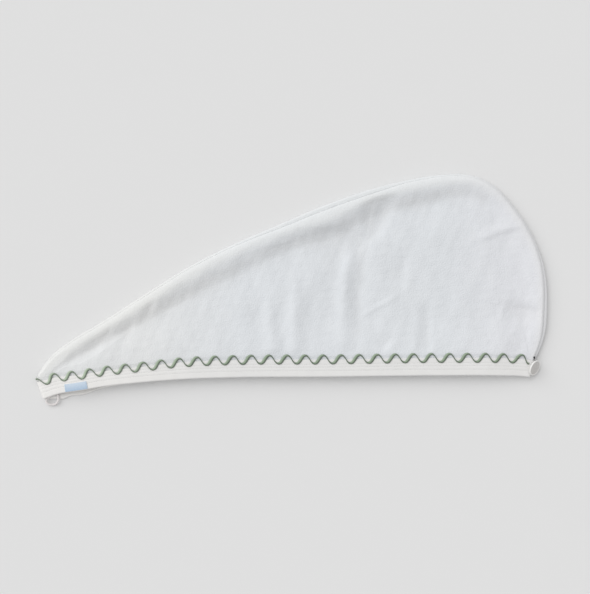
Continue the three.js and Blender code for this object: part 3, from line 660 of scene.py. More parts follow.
@dataclass
class Skin:
    """Points and faces of one piece as they are put together, in millimetres."""

    points: list[np.ndarray] = field(default_factory=list)
    faces: list[tuple[int, ...]] = field(default_factory=list)
    layout: list[np.ndarray] = field(default_factory=list)
    marks: dict[str, list[np.ndarray]] = field(default_factory=lambda: {"hollow": [], "rim": []})
    count: int = 0

    def grid(
        self,
        points: np.ndarray,
        uv: np.ndarray | None = None,
        marks: dict[str, np.ndarray] | None = None,
    ) -> np.ndarray:
        """Adds a grid of points.

        Args:
            points: The points, in millimetres.
            uv: Their places on the piece's own layout, the plan if not given.
            marks: The share of painted shade from a hollow and of painted highlight on the rim at each
                point, from 0 to 1.

        Returns:
            The points' numbers in the same layout.
        """
        numbers = np.arange(self.count, self.count + points[..., 0].size)
        self.points.append(points.reshape(-1, 3))
        uv = points[..., :2] if uv is None else uv
        self.layout.append(uv.reshape(-1, 2))
        for name, parts in self.marks.items():
            parts.append(marks[name].ravel() if marks else np.zeros(len(numbers)))
        self.count += len(numbers)
        return numbers.reshape(points.shape[:-1])

    def sheet(self, grid: np.ndarray, flip: bool = False) -> None:
        """Covers a grid of point numbers with four-sided faces."""
        a, b = grid[:-1, :-1].ravel(), grid[1:, :-1].ravel()
        c, d = grid[1:, 1:].ravel(), grid[:-1, 1:].ravel()
        rows = np.column_stack([d, c, b, a] if flip else [a, b, c, d])
        self.faces.extend(map(tuple, rows.tolist()))

    def around(self, rings: np.ndarray) -> None:
        """Joins rings of point numbers, one ring a row."""
        self.sheet(np.column_stack([rings, rings[:, :1]]))

    def tube(self, rings: np.ndarray) -> None:
        """Joins rings of point numbers, one ring a row, and caps the two ends."""
        self.around(rings)
        self.faces.append(tuple(rings[0].tolist()))
        self.faces.append(tuple(rings[-1][::-1].tolist()))

    def wall(self, outer: np.ndarray, inner: np.ndarray) -> None:
        """Closes a fine outer grid and an inner grid of every second row and column."""
        self.sheet(outer)
        self.sheet(inner, flip=True)

        def edge(grid: np.ndarray) -> np.ndarray:
            """Returns the numbers round a grid's edge, the first one again at the end."""
            sides = [grid[:-1, 0], grid[-1, :-1], grid[:0:-1, -1], grid[0, :0:-1], grid[:1, 0]]
            return np.concatenate(sides)

        fine, coarse = edge(outer), edge(inner)
        for k in range(len(coarse) - 1):
            first, middle, last = fine[2 * k], fine[2 * k + 1], fine[2 * k + 2]
            a, b = coarse[k], coarse[k + 1]
            self.faces.append((int(middle), int(first), int(a)))
            self.faces.append((int(middle), int(a), int(b)))
            self.faces.append((int(last), int(middle), int(b)))

    def finish(self, name: str, sharp: float = 50.0) -> bpy.types.Object:
        """Makes the object.

        Args:
            name: The piece's name.
            sharp: The angle in degrees past which an edge stays sharp.

        Returns:
            The mesh object, in metres, with its faces outward.
        """
        points = np.vstack(self.points) * MM
        layout = np.vstack(self.layout) * MM
        mesh = bpy.data.meshes.new(name)
        mesh.from_pydata(points.tolist(), [], self.faces)
        if enclosed(mesh) < 0:
            mesh.flip_normals()
        loops = np.empty(len(mesh.loops), int)
        mesh.loops.foreach_get("vertex_index", loops)
        uv = mesh.uv_layers.new(name="lie")
        uv.data.foreach_set("uv", layout[loops].ravel())
        for mark, parts in self.marks.items():
            shares = mesh.attributes.new(mark, "FLOAT", "POINT")
            shares.data.foreach_set("value", np.concatenate(parts))
        mesh.polygons.foreach_set("use_smooth", [True] * len(mesh.polygons))
        mesh.set_sharp_from_angle(angle=math.radians(sharp))
        mesh.validate()
        obj = bpy.data.objects.new(name, mesh)
        bpy.context.collection.objects.link(obj)
        return obj


def enclosed(mesh: bpy.types.Mesh) -> float:
    """Returns the volume that a closed mesh holds, below 0 when it is inside out."""
    mesh.calc_loop_triangles()
    corners = np.empty(3 * len(mesh.loop_triangles), int)
    mesh.loop_triangles.foreach_get("vertices", corners)
    places = np.empty(3 * len(mesh.vertices))
    mesh.vertices.foreach_get("co", places)
    a, b, c = places.reshape(-1, 3)[corners.reshape(-1, 3)].transpose(1, 0, 2)
    return float((a * np.cross(b, c)).sum() / 6)


def thickened(outer: np.ndarray, thick: np.ndarray) -> np.ndarray:
    """Returns a grid's other face, a thickness below it along its normals."""
    across = np.gradient(outer, axis=0)
    along = np.gradient(outer, axis=1)
    normal = unit(np.cross(across, along))
    return outer - normal * thick[..., None]


# Finishes.


EVEN = (1.0, 1.0, 1.0)


class Recipe:
    """A procedural material as it is being written."""

    def __init__(self, name: str, roughness: float, **constant: float) -> None:
        """Starts a material.

        Args:
            name: The material's name.
            roughness: Its roughness.
            constant: Other shader inputs that are the same all over, by name.
        """
        self.material = bpy.data.materials.new(name)
        self.material.use_nodes = True
        self.tree = self.material.node_tree
        self.shader = self.tree.nodes["Principled BSDF"]
        self.shader.inputs["Roughness"].default_value = roughness
        for key, value in constant.items():
            self.shader.inputs[key.replace("_", " ")].default_value = value
        self.places = self.tree.nodes.new("ShaderNodeTexCoord")

    @property
    def on_object(self) -> bpy.types.NodeSocket:
        """The place on the object, in metres."""
        return self.places.outputs["Object"]

    @property
    def on_layout(self) -> bpy.types.NodeSocket:
        """The place on the piece's own layout, in metres."""
        return self.places.outputs["UV"]

    def add(self, kind: str, inputs: dict, **settings: object) -> bpy.types.Node:
        """Adds a node.

        Args:
            kind: The node's type without its ShaderNode prefix.
            inputs: A value or an output socket for each named or numbered input.
            settings: The node's own options.

        Returns:
            The new node.
        """
        node = self.tree.nodes.new("ShaderNode" + kind)
        for key, value in settings.items():
            setattr(node, key, value)
        for key, value in inputs.items():
            if isinstance(value, bpy.types.NodeSocket):
                self.tree.links.new(value, node.inputs[key])
            else:
                node.inputs[key].default_value = value
        return node

    def math(self, operation: str, *values: object) -> bpy.types.NodeSocket:
        """Returns a calculation on one to three values or sockets."""
        node = self.add("Math", dict(enumerate(values)), operation=operation)
        return node.outputs[0]

    def clamped(self, value: object) -> bpy.types.NodeSocket:
        """Returns a value kept between 0 and 1."""
        return self.math("MINIMUM", self.math("MAXIMUM", value, 0.0), 1.0)

    def ribs(self, along: object, pitch: float) -> bpy.types.NodeSocket:
        """Returns even waves between -1 and 1, a pitch in metres apart."""
        return self.math("SINE", self.math("MULTIPLY", along, 2 * math.pi / pitch))

    def split(self, place: object) -> object:
        """Returns the three numbers of a place."""
        return self.add("SeparateXYZ", {0: place}).outputs

    def mark(self, name: str) -> bpy.types.NodeSocket:
        """Returns a mark that the mesh's points carry."""
        return self.add("Attribute", {}, attribute_name=name).outputs["Fac"]

    def noise(self, size: float, detail: float) -> bpy.types.NodeSocket:
        """Returns noise of about the given grain size in metres."""
        inputs = {"Vector": self.on_object, "Scale": 1 / size, "Detail": detail}
        return self.add("TexNoise", inputs).outputs[0]

    def blend(self, share: object, a: tuple, b: tuple) -> bpy.types.NodeSocket:
        """Returns a colour between a and b."""
        node = self.add("Mix", {0: share, 6: (*a, 1), 7: (*b, 1)}, data_type="RGBA")
        return node.outputs[2]

    def tinted(self, colour: object, tint: object) -> bpy.types.NodeSocket:
        """Returns a colour multiplied by a tint."""
        inputs = {0: 1.0, 6: colour, 7: tint}
        return self.add("Mix", inputs, data_type="RGBA", blend_type="MULTIPLY").outputs[2]

    def tinted_by(self, colour: object, share: object, tint: tuple) -> bpy.types.NodeSocket:
        """Returns a colour with a share of a tint."""
        return self.tinted(colour, self.blend(share, EVEN, tint))

    def tinted_along(self, colour: object, start: float, end: float, tint: tuple) -> object:
        """Returns a colour with a tint that comes in from start to end along the towel, in metres."""
        along = self.split(self.on_object)[0]
        return self.tinted_by(colour, self.shade(along, start, end, 0.0, 1.0), tint)

    def shade(self, share: object, start: float, end: float, low: float, high: float) -> object:
        """Returns a value that goes from low to high as share goes from start to end."""
        keys = ("Value", "From Min", "From Max", "To Min", "To Max")
        node = self.add("MapRange", dict(zip(keys, (share, start, end, low, high))))
        return node.outputs[0]

    def bump(self, height: object, distance: float, strength: float, under: object = None) -> object:
        """Returns a surface normal raised by a height."""
        inputs = {"Height": height, "Distance": distance, "Strength": strength}
        if under is not None:
            inputs["Normal"] = under
        return self.add("Bump", inputs).outputs[0]

    def finish(self, colour: object, normal: object) -> bpy.types.Material:
        """Sets the colour and the surface normal, and returns the material."""
        for key, value in (("Base Color", colour), ("Normal", normal)):
            self.tree.links.new(value, self.shader.inputs[key])
        return self.material


@dataclass(frozen=True)
class TerryFinish:
    """White cotton terry: small uneven loops with painted shade between them, painted shade in the
    hollows and dents, a painted highlight on the padded rim and painted light towards both ends.
    """

    light: tuple[float, float, float] = (0.785, 0.807, 0.832)
    shade: tuple[float, float, float] = (0.70, 0.725, 0.755)
    # tint of the painted shade in the hollows and dents
    painted_hollow_shade: tuple[float, float, float] = (0.935, 0.927, 0.918)
    # tint of the painted highlight on the padded rim
    rim: tuple[float, float, float] = (1.042, 1.034, 1.012)
    # painted light: the terry is lighter towards the narrow end and the wide end
    narrow_end: tuple[float, float, float] = (1.03, 1.012, 0.985)
    wide_end: tuple[float, float, float] = (1.035, 1.015, 1.02)
    narrow_over: tuple[float, float] = (-0.06, -0.19)
    wide_over: tuple[float, float] = (0.19, 0.29)
    loop: float = 0.0017
    clump: float = 0.011
    bend: float = 0.0007  # how far the loops are pushed out of their even places
    bend_scale: float = 420.0
    fibre: float = 0.0005
    fibre_share: float = 0.35
    drift: float = 0.09
    patch: float = 0.006
    clump_relief: tuple[float, float] = (0.0018, 0.3)  # depth in metres, and strength
    loop_relief: tuple[float, float] = (0.0006, 0.42)

    def material(self) -> bpy.types.Material:
        """Returns the material."""
        recipe = Recipe("terry", 0.95, Sheen_Weight=0.12, Sheen_Roughness=0.6)
        on = recipe.on_object
        stray = recipe.add("TexNoise", {"Vector": on, "Scale": self.bend_scale}).outputs[1]
        push = recipe.add("VectorMath", {0: stray, "Scale": self.bend}, operation="SCALE").outputs[0]
        bent = recipe.add("VectorMath", {0: on, 1: push}, operation="ADD").outputs[0]
        loops = recipe.add(
            "TexVoronoi",
            {"Vector": bent, "Scale": 1 / self.loop, "Smoothness": 0.35, "Randomness": 0.9},
            feature="SMOOTH_F1",
        ).outputs[0]
        crown = recipe.shade(loops, 0.15, 0.75, 1.0, 0.0)
        clumps = recipe.noise(self.clump, 3.0)
        fibres = recipe.noise(self.fibre, 2.0)
        drift = recipe.noise(self.drift, 1.0)
        height = recipe.math("MULTIPLY_ADD", fibres, self.fibre_share, crown)
        normal = recipe.bump(clumps, *self.clump_relief)
        normal = recipe.bump(height, *self.loop_relief, normal)
        mottled = recipe.math("MULTIPLY_ADD", clumps, 0.5, recipe.math("MULTIPLY", drift, 0.3))
        # Painted shade between the loops, lighter on their crowns, mixed with random mottling.
        share = recipe.math("MULTIPLY_ADD", crown, 0.34, recipe.shade(mottled, 0.2, 0.6, 0.28, 0.66))
        colour = recipe.blend(share, self.shade, self.light)
        # Painted light towards the two ends.
        colour = recipe.tinted_along(colour, *self.narrow_over, self.narrow_end)
        colour = recipe.tinted_along(colour, *self.wide_over, self.wide_end)
        # Painted highlight on the padded rim.
        colour = recipe.tinted_by(colour, recipe.mark("rim"), self.rim)
        # Painted shade in the hollows and dents, broken up in patches.
        patches = recipe.shade(recipe.noise(self.patch, 2.0), 0.3, 0.7, 0.75, 1.2)
        uneven = recipe.math("MULTIPLY", recipe.mark("hollow"), patches)
        return recipe.finish(recipe.tinted_by(colour, uneven, self.painted_hollow_shade), normal)


@dataclass(frozen=True)
class ClothFinish:
    """Fine plain-weave cloth that follows the piece's own layout, with painted light towards the narrow
    end.
    """

    name: str
    light: tuple[float, float, float]
    shade: tuple[float, float, float]
    # painted light: lighter towards the narrow end
    narrow_end: tuple[float, float, float] = (1.08, 1.07, 1.06)
    narrow_over: tuple[float, float] = (-0.1, -0.27)
    thread: float = 0.0006
    drift: float = 0.016
    slub: float = 0.0011
    puff_relief: tuple[float, float] = (0.0012, 0.3)  # depth in metres, and strength
    weave_relief: tuple[float, float] = (0.00012, 0.8)
    weave_share: float = 0.15

    def material(self) -> bpy.types.Material:
        """Returns the material."""
        recipe = Recipe(self.name, 0.85, Sheen_Weight=0.08, Sheen_Roughness=0.5)
        along, across, _ = recipe.split(recipe.on_layout)
        warp = recipe.ribs(along, 2 * self.thread)
        weft = recipe.ribs(across, 2 * self.thread)
        weave = recipe.math("MULTIPLY_ADD", recipe.math("MULTIPLY", warp, weft), 0.5, 0.5)
        drift = recipe.noise(self.drift, 3.0)
        slub = recipe.noise(self.slub, 2.0)
        normal = recipe.bump(drift, *self.puff_relief)
        normal = recipe.bump(recipe.math("ADD", weave, slub), *self.weave_relief, normal)
        mottled = recipe.shade(drift, 0.3, 0.7, 0.35, 0.85)
        share = recipe.math("MULTIPLY_ADD", weave, self.weave_share, mottled)
        colour = recipe.blend(share, self.shade, self.light)
        # Painted light towards the narrow end.
        return recipe.finish(recipe.tinted_along(colour, *self.narrow_over, self.narrow_end), normal)


@dataclass(frozen=True)
class RibbonFinish:
    """Sage ribbon with fine ribs and painted shade: darker on one side and where it is turned on edge."""

    # lit and shaded tones of the one sage ribbon, for its painted shade
    light: tuple[float, float, float] = (0.335, 0.418, 0.307)
    dark: tuple[float, float, float] = (0.105, 0.138, 0.098)
    narrow_end: tuple[float, float, float] = (1.42, 1.36, 1.42)
    narrow_over: tuple[float, float] = (-0.07, -0.27)
    rib: float = 0.0009
    rib_relief: tuple[float, float] = (0.00012, 0.7)  # depth in metres, and strength
    rib_share: float = 0.06
    drift: float = 0.004

    def material(self) -> bpy.types.Material:
        """Returns the material. The layout's second number is the share of the painted shade, in mm."""
        recipe = Recipe("sage ribbon", 0.7, Sheen_Weight=0.1)
        along, dark, _ = recipe.split(recipe.on_layout)
        # Painted shade: the share between the lit and the shaded tone.
        tone = recipe.math("MULTIPLY", dark, 1 / MM)
        rib = recipe.ribs(along, self.rib)
        drift = recipe.noise(self.drift, 2.0)
        share = recipe.math("MULTIPLY_ADD", drift, 0.4, recipe.math("SUBTRACT", tone, 0.2))
        share = recipe.clamped(recipe.math("MULTIPLY_ADD", rib, self.rib_share, share))
        normal = recipe.bump(rib, *self.rib_relief)
        colour = recipe.blend(share, self.light, self.dark)
        return recipe.finish(recipe.tinted_along(colour, *self.narrow_over, self.narrow_end), normal)


@dataclass(frozen=True)
class ButtonFinish:
    """Pale moulded button with a faint cloudy grain and a painted highlight on its rim."""

    light: tuple[float, float, float] = (0.70, 0.685, 0.665)
    shade: tuple[float, float, float] = (0.575, 0.555, 0.535)
    # tint of the painted highlight on the rim, and where it starts and ends, in mm from the middle
    rim: tuple[float, float, float] = (0.87, 0.86, 0.84)
    rim_highlight_from: float = 8.4
    rim_highlight_to: float = 9.0
    bands_scale: float = 260.0
    cloud: float = 0.003
    grain: float = 0.0006
    grain_relief: tuple[float, float] = (0.00006, 0.5)  # depth in metres, and strength

    def material(self) -> bpy.types.Material:
        """Returns the material. The layout's second number is the distance from the middle."""
        recipe = Recipe("pale button", 0.38, Coat_Weight=0.15, Coat_Roughness=0.25)
        bands = recipe.add(
            "TexWave",
            {"Vector": recipe.on_object, "Scale": self.bands_scale, "Distortion": 5.0, "Detail": 2.0},
        ).outputs[1]
        cloud = recipe.noise(self.cloud, 2.0)
        share = recipe.math("MULTIPLY_ADD", bands, 0.35, recipe.shade(cloud, 0.3, 0.7, 0.1, 0.65))
        dish = recipe.blend(share, self.shade, self.light)
        out = recipe.split(recipe.on_layout)[1]
        # Painted highlight on the rim.
        rim = recipe.shade(out, self.rim_highlight_from * MM, self.rim_highlight_to * MM, 0.0, 1.0)
        tone = recipe.add("Mix", {0: rim, 6: dish, 7: (*self.rim, 1)}, data_type="RGBA").outputs[2]
        normal = recipe.bump(recipe.noise(self.grain, 3.0), *self.grain_relief)
        return recipe.finish(tone, normal)


@dataclass(frozen=True)
class YarnFinish:
    """Spun yarn or covered elastic, with fine fibres along it."""

    name: str
    light: tuple[float, float, float]
    shade: tuple[float, float, float]
    roughness: float = 0.8
    fibre: float = 0.0004
    fibre_relief: tuple[float, float] = (0.00012, 0.6)  # depth in metres, and strength
    drift: float = 0.0025

    def material(self) -> bpy.types.Material:
        """Returns the material."""
        recipe = Recipe(self.name, self.roughness, Sheen_Weight=0.1)
        fibres = recipe.noise(self.fibre, 3.0)
        drift = recipe.noise(self.drift, 1.0)
        share = recipe.math("MULTIPLY_ADD", fibres, 0.6, recipe.math("MULTIPLY", drift, 0.5))
        normal = recipe.bump(fibres, *self.fibre_relief)
        return recipe.finish(recipe.blend(share, self.shade, self.light), normal)


@dataclass(frozen=True)
class LabelFinish:
    """Blank pale blue woven tape, a little stronger blue along its lower side."""

    light: tuple[float, float, float] = (0.63, 0.735, 0.85)
    deep: tuple[float, float, float] = (0.43, 0.565, 0.73)
    rib: float = 0.0007
    rib_relief: tuple[float, float] = (0.0001, 0.6)  # depth in metres, and strength
    deep_over: tuple[float, float] = (0.001, 0.0085)  # across the tape, from its deep to its light side
    drift: float = 0.0018

    def material(self) -> bpy.types.Material:
        """Returns the material. The layout runs along and across the tape in metres."""
        recipe = Recipe("blue tape", 0.65, Sheen_Weight=0.1)
        along, across, _ = recipe.split(recipe.on_layout)
        weave = recipe.math("MULTIPLY", recipe.ribs(along, self.rib), recipe.ribs(across, self.rib))
        low = recipe.shade(across, *self.deep_over, 0.85, 0.0)
        share = recipe.math("MULTIPLY_ADD", recipe.noise(self.drift, 2.0), 0.3, low)
        share = recipe.clamped(recipe.math("SUBTRACT", share, 0.12))
        normal = recipe.bump(weave, *self.rib_relief)
        return recipe.finish(recipe.blend(share, self.light, self.deep), normal)


# Sub-assemblies.


def dress(obj: bpy.types.Object, finish: bpy.types.Material, slot: str, *nodes: str) -> bpy.types.Object:
    """Gives a piece its finish and its body, and hides the frame nodes that it stands for.

    Args:
        obj: The piece.
        finish: Its material.
        slot: The record's slot that it belongs to. It is not used.
        nodes: The frame's nodes that it takes the place of.

    Returns:
        The piece.
    """
    if finish.name not in [m.name for m in obj.data.materials if m]:
        obj.data.materials.append(finish)
    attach(obj, BODY)
    if nodes:
        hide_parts(*nodes)
    obj.data.calc_loop_triangles()
    LOG.info("%s: %d triangles", obj.name, len(obj.data.loop_triangles))
    return obj


@dataclass
class TerryPanels:
    """The two terry layers: the upper one with its padded rim and folds, the lower one flat."""

    form: TowelForm
    pitch: float = 2.0  # spacing of the points on the face that shows
    rows: int = 124
    edge_rows: tuple[int, int] = (5, 9)  # rows below the binding's edge, and close rows past it
    roll: tuple[int, int] = (86, -12)  # the rim's turn from its crest into the seam, in degrees
    turns: int = 16
    lower_pitch: float = 3.4
    lower_rows: int = 62
    lower_turns: int = 14
    close_start: tuple[float, float] = (0.8, 0.3)  # before the binding's edge, and as a share of all
    close_end: tuple[float, float] = (4.4, 0.5)  # length of the close rows, and the share they end at
    wall_over: tuple[float, float] = (22.0, 28.0)  # where the terry gets its full thickness
    tuck_deep: float = 2.2  # how far the edge beside a tip goes under the binding's cloth
    tuck_over: float = 9.0
    tuck_tip: float = 0.3  # share of it that is left at the very tip
    tuck_tip_over: tuple[float, float] = (2.5, 5.5)
    curl_square: float = 0.68  # 1 gives the rolled edge a round section, less a squarer one
    curl_halves: float = 1.848  # height of the rolled edge, in halves of its section
    curl_inset: float = 0.9  # how far the roll is set in at the tips
    curl_past: float = 0.15  # how far it goes on past the seam
    tip_floor: float = 2.0  # height of its foot at the very tips
    tip_floor_over: float = 14.0

    def _rows(self, column: dict, count: int) -> np.ndarray:
        """Returns the plan points between the hem and the rim, column by column."""
        reach = np.linalg.norm(column["rim"] - column["end"], axis=1)
        first, close = self.edge_rows
        before, most = self.close_start
        length, most_end = self.close_end
        start = np.minimum(column["edge"] - before, most * reach).clip(0.0)
        end = np.minimum(start + length, most_end * reach)
        parts = []
        for low, high, steps in ((0 * reach, start, first), (start, end, close)):
            parts.append(mix(low[:, None], high[:, None], np.linspace(0, 1, steps, endpoint=False)))
        parts.append(mix(end[:, None], reach[:, None], np.linspace(0, 1, count - first - close)))
        t = np.concatenate(parts, axis=1) / reach[:, None]
        return mix(column["end"][:, None, :], column["rim"][:, None, :], t[..., None])

    def _tuck(self, plan: np.ndarray, arcs: np.ndarray) -> np.ndarray:
        """Draws the edge beside each tip down under the binding's cloth.

        Args:
            plan: Plan points, column by column.
            arcs: The distance along the seam of each column.

        Returns:
            The points, moved.
        """
        form = self.form
        length = form.seam.length
        for end, fold, away in ((0, form.fold_left, arcs), (-1, form.fold_right, length - arcs)):
            tip = form.seam.samples[end, :2]
            from_tip = np.linalg.norm(plan - tip, axis=-1)
            near = (1 - smooth(0, self.tuck_over, away))[:, None]
            near = near * mix(self.tuck_tip, 1.0, smooth(*self.tuck_tip_over, from_tip))
            plan = plan - (self.tuck_deep * near)[..., None] * np.array(fold)
        return plan

    def _arcs(self, pitch: float) -> np.ndarray:
        """Returns the distances along the seam of a panel's columns, an odd number of them."""
        length = self.form.seam.length
        return np.linspace(0, length, 2 * round(length / pitch / 2) + 1)

    def _wall(
        self, name: str, plan: np.ndarray, height: np.ndarray, side: Side, hollow: np.ndarray
    ) -> bpy.types.Object:
        """Gives a panel's face its thickness and makes the object.

        Args:
            name: The piece's name.
            plan: The face's plan points.
            height: The height of each.
            side: The layer. The thickness goes down from the upper one's face, up from the lower's.
            hollow: The share of painted shade that each point gets from a hollow, from 0 to 1.

        Returns:
            The panel.
        """
        form = self.form
        outer = np.concatenate([plan, height[..., None]], axis=2)
        low, _ = form.hem.nearest(plan)
        thick = mix(form.hem_wall, form.wall, smooth(*self.wall_over, low))
        inner = thickened(outer, thick if side is Side.UPPER else -thick)[::2, ::2]
        skin = Skin()
        marks = {"hollow": hollow, "rim": form.rim_highlight_share(plan)}
        skin.wall(skin.grid(outer, marks=marks), skin.grid(inner))
        return skin.finish(name)

    def upper(self) -> bpy.types.Object:
        """Builds the upper panel."""
        form = self.form
        arcs = self._arcs(self.pitch)
        column = form.panel_columns(arcs, Side.UPPER)
        flat = self._rows(column, self.rows)
        angles = np.radians(np.linspace(*self.roll, self.turns + 1))
        reach = form.seam.at(arcs, "crest")[:, None]
        d = reach - (reach - form.seam.at(arcs, "lip")[:, None]) * np.cos(angles)
        rim = column["start"][:, None, :] + column["into"][:, None, :] * d[..., None]
        plan = self._tuck(np.concatenate([flat, rim], axis=1), arcs)
        row_out = np.full(plan.shape[1], np.nan)
        row_out[self.rows :] = np.where(angles < 0, 1.0, np.cos(angles))
        z = form.upper_height(plan, np.broadcast_to(row_out, plan.shape[:2]))
        low_turn = np.zeros(plan.shape[1])
        low_turn[self.rows :] = np.minimum(np.sin(angles), 0.0) * (form.crest - form.groove)
        return self._wall("terry_upper", plan, z + low_turn, Side.UPPER, form.hollow_shade_share(plan))

    def lower(self) -> bpy.types.Object:
        """Builds the lower panel with its rolled edge."""
        form = self.form
        arcs = self._arcs(self.lower_pitch)
        column = form.panel_columns(arcs, Side.LOWER)
        flat = self._tuck(self._rows(column, self.lower_rows), arcs)
        z = form.lower_height(flat)
        from_end = np.minimum(arcs, form.seam.length - arcs)
        ends = 1 - smooth(0, form.settle, from_end)
        turned = column["start"] + column["into"] * form.curl_reach
        floor = self.tip_floor * (1 - smooth(0, self.tip_floor_over, from_end))
        base = np.maximum(form.lower_height(turned), floor)
        top = mix(form.curl_top, form.curl_top_end, ends)
        half = (top - base) / self.curl_halves
        inset = self.curl_inset * ends
        turned_in = 1 - (form.seam.at(arcs, "lip") - self.curl_past - inset) / form.curl_reach
        last = np.arccos(signed_power(turned_in, 1 / self.curl_square))
        angles = mix(-math.pi / 2, last[:, None], np.linspace(0, 1, self.lower_turns + 1)[None])
        across = 1 - signed_power(np.cos(angles), self.curl_square)
        rise = signed_power(np.sin(angles), self.curl_square)
        d = inset[:, None] + form.curl_reach * across
        curl = column["start"][:, None, :] + column["into"][:, None, :] * d[..., None]
        curl_z = base[:, None] + half[:, None] * (1 + rise)
        plan = np.concatenate([flat, curl], axis=1)
        height = np.concatenate([z, curl_z], axis=1)
        return self._wall("terry_lower", plan, height, Side.LOWER, np.zeros_like(height))


@dataclass
class Binding:
    """The smooth band folded over the long open edge, with its stitched channels."""

    form: TowelForm
    ring: BandRing
    channels: tuple[float, ...] = (7.6, 12.1, 15.9)  # distance of each stitched row from the edge
    channel_half: float = 0.75
    channel_deep: float = 0.3
    face_rows: int = 32
    lip: float = 0.3  # how far before its width the face goes over into the cloth's cut edge
    bend: float = 1.4  # distance from the edge at which the bend round it starts
    bend_turn: float = 75.0
    bend_rows: int = 8
    arm_rows: int = 12
    arm_lip: float = 0.2
    pocket: float = 0.3  # how far the middle of the pocket between the arms lies past its corners
    pocket_from: float = 1.6
    pitch: float = 3.2
    fold_rows: int = 19
    fold_cover: float = 1.5  # how much farther the cloth reaches over the terry at the left fold
    fold_cover_over: tuple[float, float] = (2.0, 9.0)

    def sink(self, w: np.ndarray) -> np.ndarray:
        """Returns how far the stitching pulls the band in at a distance from its edge."""
        w = np.asarray(w, float)
        total = np.zeros_like(w)
        for row in self.channels:
            total += self.channel_deep * np.exp(-(((w - row) / self.channel_half) ** 2))
        return total

    def _section(self, width: float) -> np.ndarray:
        """Returns the band's closed section as rows of w and n, for a width of its outer face."""
        form = self.form
        half, cloth = form.half, form.cloth
        out = np.linspace(width - self.lip, self.bend, self.face_rows)
        outer = np.column_stack([out, half - self.sink(out)])
        turn = np.radians(np.linspace(self.bend_turn, -self.bend_turn, self.bend_rows))
        edge = np.column_stack([self.bend - half * np.cos(turn), half * np.sin(turn)])
        back = np.linspace(self.bend, form.inner_arm, self.arm_rows)
        under = np.column_stack([back, np.full(self.arm_rows, -half)])
        hollow = np.array([
            [form.inner_arm + self.arm_lip, -half + cloth / 2],
            [form.inner_arm, cloth - half],
            [self.pocket_from, cloth - half],
            [self.pocket_from - self.pocket, 0.0],
            [self.pocket_from, half - cloth],
            [form.step, half - cloth],
            [width - self.lip, half - cloth],
            [width, half - cloth / 2],
        ])
        return np.vstack([outer, edge, under, hollow])

    def build(self) -> bpy.types.Object:
        """Builds the band as one closed ring."""
        ring = self.ring
        run_rows = round(ring.left_start / self.pitch)
        stops = [0.0, ring.left_start, ring.left_end, ring.lower_end, ring.length]
        counts = [run_rows, self.fold_rows, run_rows, self.fold_rows]
        parts = [np.linspace(*span) for span in zip(stops, stops[1:], counts)]
        s = np.concatenate([part[:-1] for part in parts])
        from_fold = np.abs(s - (ring.left_start + ring.left_end) / 2)
        cover = self.fold_cover * (1 - smooth(*self.fold_cover_over, from_fold))
        widths = ring.stations(s)["width"] + cover
        sections = np.array([self._section(width) for width in widths])
        points = np.empty((*sections.shape[:2], 3))
        for k in range(sections.shape[1]):
            points[:, k] = ring.place(s, sections[:, k, 0], sections[:, k, 1])
        steps = np.linalg.norm(np.diff(sections, axis=1), axis=2)
        round_it = np.concatenate([np.zeros((len(s), 1)), np.cumsum(steps, axis=1)], axis=1)
        uv = columns(np.broadcast_to(s[:, None], round_it.shape), round_it)
        skin = Skin()
        grid = skin.grid(points, uv)
        skin.around(np.vstack([grid, grid[:1]]))
        return skin.finish("binding")


